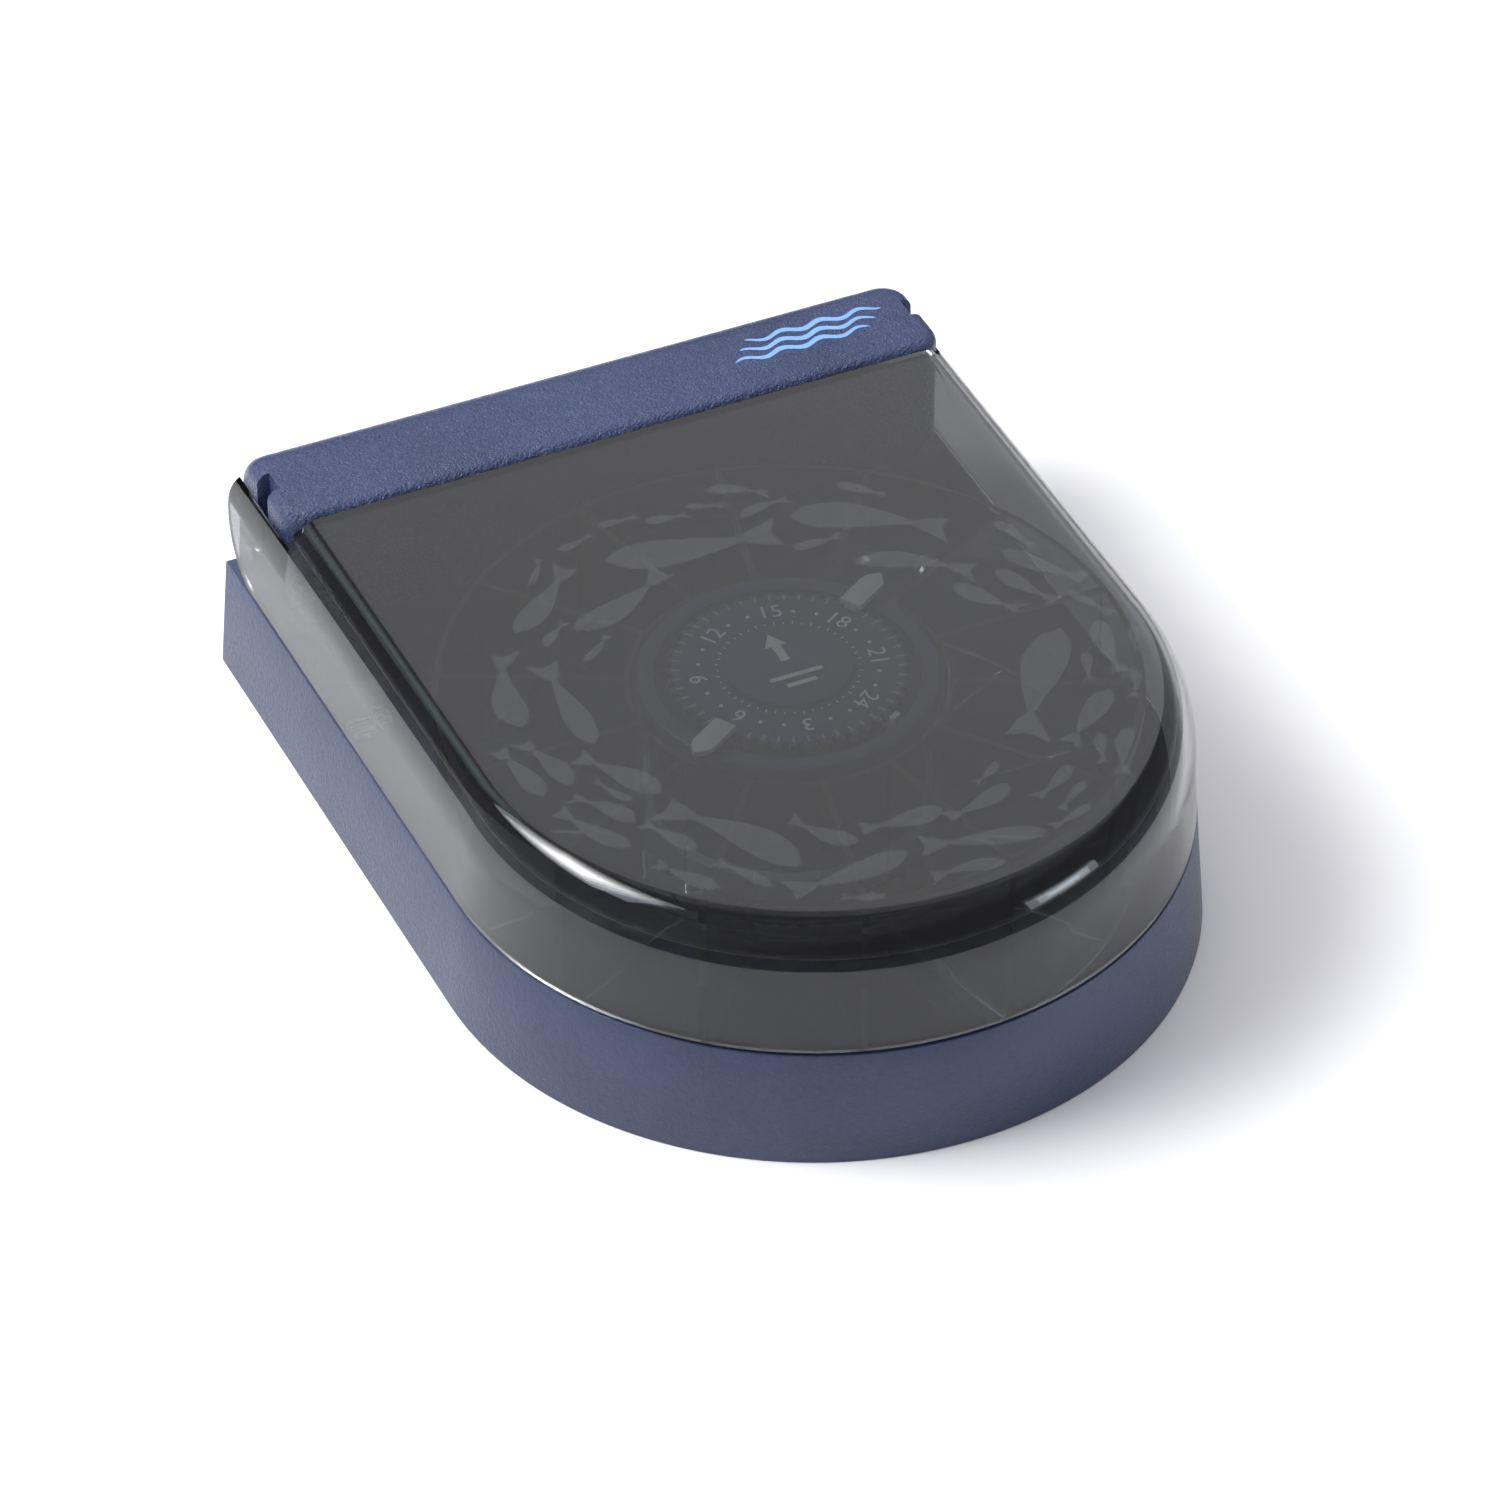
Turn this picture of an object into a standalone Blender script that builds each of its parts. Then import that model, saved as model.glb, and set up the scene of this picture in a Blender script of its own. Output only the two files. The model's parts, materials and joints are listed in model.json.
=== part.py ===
"""Automatic fish feeder with a see-through lid, a 24-hour dial and a tray of feed compartments.

Metres, +Z up. The feeder stands on z = 0. +Y is the straight back with the battery
housing, -Y the round front. x = 0 is the plane of symmetry of the casing.
"""
import math

import bmesh
import bpy
from mathutils import Matrix, Vector

MM = 0.001
GAP = 0.3 * MM

# ---- casing ----
HALF_WIDTH = 64.0 * MM
LENGTH = 162.4 * MM
BASE_HEIGHT = 21.0 * MM
TOTAL_HEIGHT = 45.0 * MM
BACK_Y = LENGTH / 2
ARC_Y = HALF_WIDTH - LENGTH / 2
SEAM_HALF_WIDTH = 62.4 * MM
BASE_SLOPE = (HALF_WIDTH - SEAM_HALF_WIDTH) / BASE_HEIGHT
BASE_WALL = 2.0 * MM
FLOOR = 2.2 * MM
ARC_SEGMENTS = 40

# ---- rear housing and lid hinge ----
HOUSING_FRONT_Y = 57.3 * MM
HOUSING_HALF_WIDTH = 60.0 * MM
HOUSING_WALL = 2.0 * MM
SHOULDER = 8.4 * MM
HOUSING_EDGE = 2.2 * MM
HOUSING_FRONT_CORNER = 5.0 * MM
HOUSING_BACK_CORNER = 4.0 * MM
PIVOT_Y = 68.8 * MM
PIVOT_Z = 33.0 * MM
EAR_RADIUS = PIVOT_Z - BASE_HEIGHT - GAP
PEG_RADIUS = 2.0 * MM

# ---- lid ----
LID_WALL = 1.6 * MM
LID_FILLET = 6.6 * MM
LID_TOP_HALF_WIDTH = 61.8 * MM
LID_REAR_Y = HOUSING_FRONT_Y - 1.0 * MM
EAR_INNER_X = HOUSING_HALF_WIDTH + 0.4 * MM
LID_REAR_CORNER = 3.4 * MM

# ---- feed tray, turning on the vertical axis through (0, AXIS_Y) ----
AXIS_Y = ARC_Y + 8.8 * MM
COMPARTMENTS = 14
TRAY_RADIUS = 57.5 * MM
TRAY_HUB_RADIUS = 25.4 * MM
TRAY_WALL = 1.2 * MM
TRAY_TOP = 39.0 * MM
DECK_BOTTOM = 5.0 * MM
DECK_TOP = 6.6 * MM
TRAY_BOTTOM = DECK_TOP + GAP
OUTLET_INNER = 28.5 * MM
OUTLET_OUTER = 54.5 * MM
OUTLET_HALF_ANGLE = math.radians(10.0)
POST_RADIUS = 3.0 * MM
POST_TOP = 40.1 * MM

# ---- clock can in the middle of the tray ----
CAN_RADIUS = 22.7 * MM
CAN_WALL = 1.5 * MM
CAN_BOTTOM = 12.0 * MM
CAN_TOP = 36.0 * MM
COLLAR_RADIUS = 24.6 * MM
COLLAR_INNER = 21.6 * MM
COLLAR_TOP = 40.6 * MM
PLATE_BOTTOM = CAN_TOP + GAP
PLATE_TOP = 37.7 * MM
BOARD_BOTTOM = 23.0 * MM
BOARD_TOP = 24.2 * MM

# ---- dial ----
DIAL_RADIUS = 19.8 * MM
DIAL_BOTTOM = 39.6 * MM
DIAL_TOP = 41.4 * MM
DIAL_NOTCHES = 48
ARROW_DISC_RADIUS = 10.5 * MM
TAB_ANGLES = (math.radians(32.0), math.radians(212.0))
TAB_INNER = 18.3 * MM
TAB_OUTER = 27.6 * MM
TAB_WIDTH = 4.0 * MM

# ---- gears, all of one module, between the deck and the can ----
GEAR_MODULE = 1.0 * MM
GEAR_BOTTOM = 7.3 * MM
GEAR_TOP = 11.0 * MM
ADDENDUM = 0.60 * MM
DEDENDUM = 0.95 * MM
RING_TEETH = 48
DRIVE_TEETH = 10
IDLER_TEETH = 16
MOTOR_TEETH = 8
PIN_RADIUS = 1.0 * MM

# ---- trip lever on the collar plate ----
LEVER_ANGLE = math.radians(300.0)
LEVER_PIVOT_RADIUS = 15.0 * MM
LEVER_PIVOT_Z = 38.9 * MM

# ---- battery bay ----
CELL_RADIUS = 7.1 * MM
CELL_LENGTH = 50.5 * MM
CELL_Y = 69.5 * MM
CELL_Z = 12.0 * MM
DOOR_HALF_WIDTH = 27.7 * MM
DOOR_BOTTOM = 4.7 * MM
DOOR_TOP = 19.3 * MM

HOUSING_SCREWS = ((-50.0 * MM, CELL_Y), (50.0 * MM, CELL_Y))
DECK_SCREWS = (
    (-52.0 * MM, 46.0 * MM),
    (52.0 * MM, 46.0 * MM),
    (-30.0 * MM, -64.0 * MM),
    (30.0 * MM, -64.0 * MM),
)


# ------------------------------------------------------------------ scene helpers

def clear_scene():
    for old in list(bpy.data.objects):
        bpy.data.objects.remove(old, do_unlink=True)


def make_collection(name):
    collection = bpy.data.collections.new(name)
    bpy.context.scene.collection.children.link(collection)
    return collection


clear_scene()
PARTS = make_collection("fish_feeder")
CUTTERS = make_collection("cutters")


def make_material(name, colour, roughness, metallic=0.0, alpha=1.0):
    material = bpy.data.materials.new(name)
    material.use_nodes = True
    shader = material.node_tree.nodes["Principled BSDF"]
    shader.inputs["Base Color"].default_value = (*colour, 1.0)
    shader.inputs["Roughness"].default_value = roughness
    shader.inputs["Metallic"].default_value = metallic
    shader.inputs["Alpha"].default_value = alpha
    return material


BLUE = make_material("blue_plastic", (0.085, 0.105, 0.20), 0.45)
SMOKE = make_material("smoke_clear_plastic", (0.12, 0.125, 0.13), 0.06, 0.0, 0.5)
CLEAR = make_material("clear_plastic", (0.75, 0.78, 0.80), 0.12, 0.0, 0.4)
DIAL_BLUE = make_material("dial_plastic", (0.06, 0.07, 0.11), 0.4)
GREY = make_material("light_grey_plastic", (0.62, 0.64, 0.65), 0.45)
WHITE = make_material("white_acetal", (0.80, 0.80, 0.78), 0.4)
STEEL = make_material("steel", (0.60, 0.60, 0.60), 0.3, 1.0)
BOARD = make_material("circuit_board", (0.05, 0.22, 0.10), 0.5)
CELL = make_material("battery_sleeve", (0.10, 0.10, 0.10), 0.35)
RED = make_material("red_wire", (0.55, 0.03, 0.03), 0.5)
BLACK = make_material("black_wire", (0.02, 0.02, 0.02), 0.5)


def link(obj, material=None):
    if material is None:
        CUTTERS.objects.link(obj)
        obj.hide_render = True
        obj.display_type = "WIRE"
        return obj
    obj.data.materials.clear()
    obj.data.materials.append(material)
    PARTS.objects.link(obj)
    if obj.type == "MESH":
        obj.data.shade_smooth()
        obj.data.set_sharp_from_angle(angle=math.radians(35.0))
    return obj


def from_bmesh(name, bm, material=None, location=(0.0, 0.0, 0.0)):
    mesh = bpy.data.meshes.new(name)
    bm.to_mesh(mesh)
    bm.free()
    obj = bpy.data.objects.new(name, mesh)
    obj.location = location
    return link(obj, material)


def boolean(target, tool, operation):
    modifier = target.modifiers.new(tool.name, "BOOLEAN")
    modifier.operation = operation
    modifier.object = tool


def cut(target, *cutters):
    for cutter in cutters:
        boolean(target, cutter, "DIFFERENCE")


def join(target, *additions):
    for addition in additions:
        boolean(target, addition, "UNION")


# ------------------------------------------------------------------ shape helpers

def box(name, low, high, material=None):
    """A box between two corners."""
    bm = bmesh.new()
    bmesh.ops.create_cube(bm, size=1.0)
    size = Vector(high) - Vector(low)
    bmesh.ops.scale(bm, vec=size, verts=bm.verts)
    bmesh.ops.translate(bm, vec=(Vector(high) + Vector(low)) / 2, verts=bm.verts)
    return from_bmesh(name, bm, material)


def rod(name, radius, start, end, material=None, segments=20):
    """A cylinder from one point to another."""
    start, end = Vector(start), Vector(end)
    bm = bmesh.new()
    bmesh.ops.create_cone(
        bm, cap_ends=True, segments=segments,
        radius1=radius, radius2=radius, depth=(end - start).length,
    )
    turn = (end - start).to_track_quat("Z", "Y").to_matrix().to_4x4()
    bmesh.ops.transform(bm, matrix=Matrix.Translation((start + end) / 2) @ turn, verts=bm.verts)
    return from_bmesh(name, bm, material)


def turned(name, profile, location, material=None, closed=False, segments=40):
    """A profile of (radius, height) points, top to bottom down its outer side, turned about Z."""
    bm = bmesh.new()
    verts = [bm.verts.new((radius, 0.0, height)) for radius, height in profile]
    pairs = list(zip(verts, verts[1:]))
    if closed:
        pairs.append((verts[-1], verts[0]))
    for pair in pairs:
        bm.edges.new(pair)
    obj = from_bmesh(name, bm, material, location)
    screw = obj.modifiers.new("turn", "SCREW")
    screw.axis = "Z"
    screw.steps = segments
    screw.render_steps = segments
    screw.use_merge_vertices = True
    screw.merge_threshold = 0.00001
    return obj


def ring(name, outer, inner, bottom, top, location, material=None, segments=40):
    profile = [(outer, top), (outer, bottom), (inner, bottom), (inner, top)]
    return turned(name, profile, location, material, closed=True, segments=segments)


def plate(name, outline, bottom, top, material=None, location=(0.0, 0.0, 0.0), holes=()):
    """A flat outline, with holes, given its thickness."""
    curve = bpy.data.curves.new(name, "CURVE")
    curve.dimensions = "2D"
    curve.fill_mode = "BOTH"
    curve.extrude = (top - bottom) / 2
    for loop in (outline, *holes):
        spline = curve.splines.new("POLY")
        spline.points.add(len(loop) - 1)
        for point, (x, y) in zip(spline.points, loop):
            point.co = (x, y, 0.0, 1.0)
        spline.use_cyclic_u = True
    source = bpy.data.objects.new(name + "_outline", curve)
    bpy.context.scene.collection.objects.link(source)
    evaluated = source.evaluated_get(bpy.context.evaluated_depsgraph_get())
    mesh = bpy.data.meshes.new_from_object(evaluated)
    bm = bmesh.new()
    bm.from_mesh(mesh)
    bmesh.ops.remove_doubles(bm, verts=bm.verts, dist=0.000005)
    bmesh.ops.translate(bm, vec=(0.0, 0.0, (top + bottom) / 2), verts=bm.verts)
    bmesh.ops.recalc_face_normals(bm, faces=bm.faces)
    bpy.data.objects.remove(source, do_unlink=True)
    bpy.data.meshes.remove(mesh)
    return from_bmesh(name, bm, material, location)


def circle(radius, segments, centre=(0.0, 0.0)):
    steps = [2 * math.pi * i / segments for i in range(segments)]
    return [(centre[0] + radius * math.cos(a), centre[1] + radius * math.sin(a)) for a in steps]


def arc(radius, start, end, segments, centre=(0.0, 0.0)):
    steps = [start + (end - start) * i / segments for i in range(segments + 1)]
    return [(centre[0] + radius * math.cos(a), centre[1] + radius * math.sin(a)) for a in steps]


def casing_outline(half_width, back_y):
    """The plan of the casing: a half circle in front, straight sides, a straight back."""
    front = arc(half_width, math.pi, 2 * math.pi, ARC_SEGMENTS, (0.0, ARC_Y))
    return front + [(half_width, back_y), (-half_width, back_y)]


def stacked(name, levels, material=None):
    """Outlines with the same number of points, each at its height, joined from the lowest up."""
    bm = bmesh.new()
    height, outline = levels[0]
    bottom = bm.faces.new([bm.verts.new((x, y, height)) for x, y in outline])
    face = bottom
    for height, outline in levels[1:]:
        grown = bmesh.ops.extrude_face_region(bm, geom=[face])
        new_face = [item for item in grown["geom"] if isinstance(item, bmesh.types.BMFace)][0]
        if face is not bottom:
            bmesh.ops.delete(bm, geom=[face], context="FACES_ONLY")
        for loop, (x, y) in zip(new_face.loops, outline):
            loop.vert.co = (x, y, height)
        face = new_face
    bmesh.ops.recalc_face_normals(bm, faces=bm.faces)
    return from_bmesh(name, bm, material)


def casing_solid(name, sections, back_y, material=None):
    """Casing plans of different half width, stacked at their heights."""
    levels = [(height, casing_outline(half_width, back_y)) for height, half_width in sections]
    return stacked(name, levels, material)


def extruded_x(name, outline, left, right, material=None):
    """An outline of (y, z) points given its width along X."""
    bm = bmesh.new()
    verts = [bm.verts.new((left, y, z)) for y, z in outline]
    face = bm.faces.new(verts)
    grown = bmesh.ops.extrude_face_region(bm, geom=[face])
    moved = [item for item in grown["geom"] if isinstance(item, bmesh.types.BMVert)]
    bmesh.ops.translate(bm, vec=(right - left, 0.0, 0.0), verts=moved)
    bmesh.ops.recalc_face_normals(bm, faces=bm.faces)
    return from_bmesh(name, bm, material)


def base_half_width(height):
    return HALF_WIDTH - BASE_SLOPE * height


# ------------------------------------------------------------------ base

def sector(inner, outer, half_angle, segments=5):
    """A piece of a ring about the tray's axis, towards the front."""
    middle = -math.pi / 2
    outside = arc(outer, middle - half_angle, middle + half_angle, segments)
    inside = arc(inner, middle + half_angle, middle - half_angle, segments)
    return outside + inside


def make_base_casing():
    base = casing_solid(
        "base_casing", [(0.0, HALF_WIDTH), (BASE_HEIGHT, SEAM_HALF_WIDTH)], BACK_Y, BLUE,
    )
    above = BASE_HEIGHT + 1.0 * MM
    tray_room = casing_solid(
        "tray_room",
        [(FLOOR, base_half_width(FLOOR) - BASE_WALL), (above, base_half_width(above) - BASE_WALL)],
        HOUSING_FRONT_Y,
    )
    bay_half_width = SEAM_HALF_WIDTH - BASE_WALL
    bay = box(
        "battery_bay",
        (-bay_half_width, HOUSING_FRONT_Y + BASE_WALL, FLOOR),
        (bay_half_width, BACK_Y - BASE_WALL, above),
    )
    cut(base, tray_room, bay)

    axis = (0.0, AXIS_Y, 0.0)
    sunk = FLOOR - 0.5 * MM
    join(base, rod("post", POST_RADIUS, (0, AXIS_Y, sunk), (0, AXIS_Y, POST_TOP), segments=24))
    wall = 1.2 * MM
    duct_outline = sector(OUTLET_INNER - wall, OUTLET_OUTER + wall, OUTLET_HALF_ANGLE + math.radians(2.2))
    join(base, plate("outlet_duct", duct_outline, sunk, DECK_BOTTOM - GAP, location=axis))
    duct_hole = sector(OUTLET_INNER, OUTLET_OUTER, OUTLET_HALF_ANGLE)
    cut(base, plate("outlet_hole", duct_hole, -1.0 * MM, DECK_BOTTOM, location=axis))
    for i, (x, y) in enumerate(DECK_SCREWS):
        join(base, rod(f"deck_boss_{i}", 3.0 * MM, (x, y, sunk), (x, y, DECK_BOTTOM - GAP), segments=16))
        cut(base, rod(f"deck_boss_bore_{i}", 1.4 * MM, (x, y, 0.6 * MM), (x, y, 7.0 * MM), segments=12))
    for i, (x, y) in enumerate(HOUSING_SCREWS):
        cut(
            base,
            rod(f"screw_recess_{i}", 3.2 * MM, (x, y, -1.0 * MM), (x, y, 1.5 * MM), segments=20),
            rod(f"screw_hole_{i}", 1.5 * MM, (x, y, -1.0 * MM), (x, y, 4.0 * MM), segments=16),
        )
    for side in (-1, 1):
        near = side * 30.3 * MM
        far = side * 32.3 * MM
        join(base, box(
            f"cell_stop_{side}",
            (min(near, far), HOUSING_FRONT_Y + 1.0 * MM, sunk),
            (max(near, far), BACK_Y - 1.0 * MM, 19.0 * MM),
        ))
        cut(base, rod(
            f"wire_hole_{side}", 1.3 * MM,
            (side * 6.0 * MM, HOUSING_FRONT_Y - 1.0 * MM, 3.8 * MM),
            (side * 6.0 * MM, HOUSING_FRONT_Y + 3.0 * MM, 3.8 * MM), segments=12,
        ))
    cut(base, box(
        "door_opening",
        (-DOOR_HALF_WIDTH - GAP, BACK_Y - 3.0 * MM, DOOR_BOTTOM - GAP),
        (DOOR_HALF_WIDTH + GAP, BACK_Y + 1.0 * MM, DOOR_TOP + GAP),
    ))
    return base


def make_feed_deck():
    half_width = base_half_width(DECK_BOTTOM) - BASE_WALL - 0.6 * MM
    holes = [circle(POST_RADIUS + GAP, 24, (0.0, AXIS_Y))]
    outlet = sector(OUTLET_INNER, OUTLET_OUTER, OUTLET_HALF_ANGLE)
    holes.append([(x, y + AXIS_Y) for x, y in outlet])
    for x, y in DECK_SCREWS:
        holes.append(circle(1.5 * MM, 16, (x, y)))
    for x, y in WIRE_RISERS:
        holes.append(circle(1.2 * MM, 12, (x, y)))
    outline = casing_outline(half_width, HOUSING_FRONT_Y - 0.4 * MM)
    return plate("feed_deck", outline, DECK_BOTTOM, DECK_TOP, BLUE, holes=holes)


def make_screw(name, x, y, head_z, tip_z):
    """A pan-head screw. Its head is above its tip where head_z is the higher."""
    up = 1.0 if head_z > tip_z else -1.0
    head = 1.2 * MM
    profile = [
        (0.0, head), (1.9 * MM, head), (2.6 * MM, head * 0.5), (2.6 * MM, 0.0),
        (1.1 * MM, 0.0), (1.1 * MM, -abs(head_z - tip_z) + 1.0 * MM), (0.0, -abs(head_z - tip_z)),
    ]
    screw = turned(name, profile, (x, y, head_z), STEEL, segments=16)
    if up < 0:
        screw.rotation_euler = (math.pi, 0.0, 0.0)
    slot = box(
        name + "_slot",
        (x - 2.0 * MM, y - 0.35 * MM, head_z + up * head - 0.5 * MM),
        (x + 2.0 * MM, y + 0.35 * MM, head_z + up * head + 0.5 * MM),
    )
    cut(screw, slot)
    return screw


# ------------------------------------------------------------------ rear housing and battery

def housing_plan(edge_inset, back_inset):
    """The housing's plan with round corners; the front and the ends stand in by edge_inset."""
    half_width = HOUSING_HALF_WIDTH - edge_inset
    front = HOUSING_FRONT_Y + edge_inset
    back = BACK_Y - back_inset
    front_corner = HOUSING_FRONT_CORNER - edge_inset
    side = half_width - front_corner
    back_side = half_width - HOUSING_BACK_CORNER
    quarter = math.pi / 2
    return (
        arc(front_corner, -quarter, 0.0, 5, (side, front + front_corner))
        + arc(HOUSING_BACK_CORNER, 0.0, quarter, 5, (back_side, back - HOUSING_BACK_CORNER))
        + arc(HOUSING_BACK_CORNER, quarter, 2 * quarter, 5, (-back_side, back - HOUSING_BACK_CORNER))
        + arc(front_corner, 2 * quarter, 3 * quarter, 5, (-side, front + front_corner))
    )


def rounding(radius, height):
    """How far a rounded top edge stands in at a height below the top."""
    drop = max(0.0, height - (TOTAL_HEIGHT - radius))
    return radius - math.sqrt(max(0.0, radius ** 2 - drop ** 2))


def housing_hollow_profile(bottom):
    """The hollow's cross section: an upright front, a level top, a round shoulder to the back."""
    front = HOUSING_FRONT_Y + HOUSING_WALL
    back = BACK_Y - HOUSING_WALL
    top = TOTAL_HEIGHT - HOUSING_WALL
    radius = SHOULDER - HOUSING_WALL
    lip = HOUSING_EDGE - 1.0 * MM
    front_round = arc(lip, math.pi, math.pi / 2, 4, (front + lip, top - lip))
    back_round = arc(radius, math.pi / 2, 0.0, 8, (back - radius, top - radius))
    return [(front, bottom)] + front_round + back_round + [(back, bottom)]


def make_rear_housing():
    bottom = BASE_HEIGHT + GAP
    levels = [(bottom, housing_plan(0.0, 0.0))]
    steps = 8
    for i in range(steps + 1):
        angle = math.pi / 2 * i / steps
        height = TOTAL_HEIGHT - SHOULDER * (1.0 - math.sin(angle))
        levels.append((height, housing_plan(rounding(HOUSING_EDGE, height), rounding(SHOULDER, height))))
    housing = stacked("rear_housing", levels, BLUE)
    inner_half = HOUSING_HALF_WIDTH - 3.4 * MM
    hollow = extruded_x(
        "housing_hollow", housing_hollow_profile(bottom - 5.0 * MM), -inner_half, inner_half,
    )
    cut(housing, hollow)
    for i, (x, y) in enumerate(HOUSING_SCREWS):
        join(housing, rod(
            f"housing_boss_{i}", 3.0 * MM, (x, y, FLOOR + GAP), (x, y, TOTAL_HEIGHT - 1.0 * MM), segments=16,
        ))
        cut(housing, rod(f"housing_boss_bore_{i}", 1.5 * MM, (x, y, 0.0), (x, y, 16.0 * MM), segments=12))
    slot_radius = PEG_RADIUS + 0.3 * MM
    for side in (-1, 1):
        outer = side * (HOUSING_HALF_WIDTH + 1.0 * MM)
        inner = side * (HOUSING_HALF_WIDTH - 2.2 * MM)
        cut(
            housing,
            rod(
                f"hinge_slot_round_{side}", slot_radius,
                (inner, PIVOT_Y, PIVOT_Z), (outer, PIVOT_Y, PIVOT_Z), segments=24,
            ),
            box(
                f"hinge_slot_{side}",
                (min(inner, outer), PIVOT_Y - slot_radius, PIVOT_Z),
                (max(inner, outer), PIVOT_Y + slot_radius, TOTAL_HEIGHT + 1.0 * MM),
            ),
        )
    return housing


def make_battery_door():
    door = box(
        "battery_door",
        (-DOOR_HALF_WIDTH, BACK_Y - 1.8 * MM, DOOR_BOTTOM),
        (DOOR_HALF_WIDTH, BACK_Y - 0.1 * MM, DOOR_TOP), BLUE,
    )
    door.location = (0.0, 0.0, 0.0)
    grip = rod(
        "door_grip", 6.0 * MM, (-6.0 * MM, BACK_Y + 5.2 * MM, 16.0 * MM),
        (6.0 * MM, BACK_Y + 5.2 * MM, 16.0 * MM), segments=32,
    )
    cut(door, grip)
    return door


def make_cell():
    half = CELL_LENGTH / 2
    nub = 2.6 * MM
    profile = [
        (0.0, half), (nub, half), (nub, half - 1.2 * MM), (CELL_RADIUS - 0.5 * MM, half - 1.2 * MM),
        (CELL_RADIUS, half - 1.8 * MM), (CELL_RADIUS, -half + 0.4 * MM),
        (CELL_RADIUS - 0.4 * MM, -half), (0.0, -half),
    ]
    cell = turned("battery", profile, (0.0, CELL_Y, CELL_Z), CELL, segments=28)
    cell.rotation_euler = (0.0, math.pi / 2, 0.0)
    return cell


def make_contacts():
    half = CELL_LENGTH / 2
    low, high = CELL_Z - 6.0 * MM, CELL_Z + 6.0 * MM
    near, far = CELL_Y - 5.5 * MM, CELL_Y + 5.5 * MM
    box(
        "contact_plate_positive",
        (half + GAP, near, low), (half + GAP + 0.5 * MM, far, high), STEEL,
    )
    box("contact_plate_negative", (-30.0 * MM, near, low), (-29.5 * MM, far, high), STEEL)
    turns = 4
    per_turn = 14
    start_x = -29.0 * MM
    end_x = -half - 0.5 * MM
    points = []
    for i in range(turns * per_turn + 1):
        along = i / (turns * per_turn)
        angle = 2 * math.pi * turns * along
        radius = (4.2 - 1.6 * along) * MM
        points.append((
            start_x + (end_x - start_x) * along,
            CELL_Y + radius * math.cos(angle),
            CELL_Z + radius * math.sin(angle),
        ))
    wire("contact_spring", points, 0.28 * MM, STEEL)


def wire(name, points, radius, material):
    curve = bpy.data.curves.new(name, "CURVE")
    curve.dimensions = "3D"
    curve.bevel_depth = radius
    curve.bevel_resolution = 2
    curve.use_fill_caps = True
    spline = curve.splines.new("POLY")
    spline.points.add(len(points) - 1)
    for point, co in zip(spline.points, points):
        point.co = (*co, 1.0)
    curve.materials.append(material)
    obj = bpy.data.objects.new(name, curve)
    PARTS.objects.link(obj)
    return obj


def smooth_route(route, steps):
    """Points along a Catmull-Rom curve through the route's own points."""
    corners = [Vector(p) for p in route]
    corners = [2 * corners[0] - corners[1]] + corners + [2 * corners[-1] - corners[-2]]
    points = []
    for a, b, c, d in zip(corners, corners[1:], corners[2:], corners[3:]):
        for i in range(steps):
            t = i / steps
            points.append(
                0.5 * (2 * b + (c - a) * t + (2 * a - 5 * b + 4 * c - d) * t * t
                       + (3 * b - a - 3 * c + d) * t ** 3)
            )
    points.append(corners[-2])
    return [tuple(p) for p in points]


WIRE_RISERS = ((-8.5 * MM, AXIS_Y - 3.0 * MM), (-13.0 * MM, AXIS_Y - 3.0 * MM))


def make_wires():
    """The battery leads: along the bay, under the deck and up into the clock can."""
    under = 3.7 * MM
    for name, side, riser, material in (
        ("wire_positive", 1, WIRE_RISERS[0], RED),
        ("wire_negative", -1, WIRE_RISERS[1], BLACK),
    ):
        x, y = riser
        route = [
            (side * 26.6 * MM, 61.0 * MM, 8.0 * MM),
            (side * 24.0 * MM, 60.6 * MM, under + 0.4 * MM),
            (side * 12.0 * MM, 60.8 * MM, under),
            (side * 6.3 * MM, 59.6 * MM, under),
            (side * 5.8 * MM, 55.0 * MM, under),
            (side * 5.0 * MM + (x - 5.0 * MM) * 0.3, 30.0 * MM, under),
            (x + 0.2 * MM, y + 5.0 * MM, under - 0.1 * MM),
            (x, y + 0.3 * MM, under + 1.2 * MM),
            (x, y, 9.0 * MM),
            (x, y, 15.0 * MM),
            (x, y, BOARD_BOTTOM - 0.4 * MM),
        ]
        wire(name, smooth_route(route, 4), 0.55 * MM, material)


# ------------------------------------------------------------------ lid

def lid_sections(inset):
    """Half widths of the lid's outside, or of its inside where inset is the wall's thickness."""
    seam = BASE_HEIGHT + GAP
    shoulder = TOTAL_HEIGHT - LID_FILLET
    sections = []
    if inset:
        sections.append((seam - 2.0 * MM, SEAM_HALF_WIDTH - 0.1 * MM - inset))
    sections.append((seam, SEAM_HALF_WIDTH - 0.1 * MM - inset))
    radius = LID_FILLET - inset
    steps = 5
    for i in range(steps + 1):
        angle = math.pi / 2 * i / steps
        sections.append((
            shoulder + radius * math.sin(angle),
            LID_TOP_HALF_WIDTH - LID_FILLET + radius * math.cos(angle),
        ))
    return sections


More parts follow.
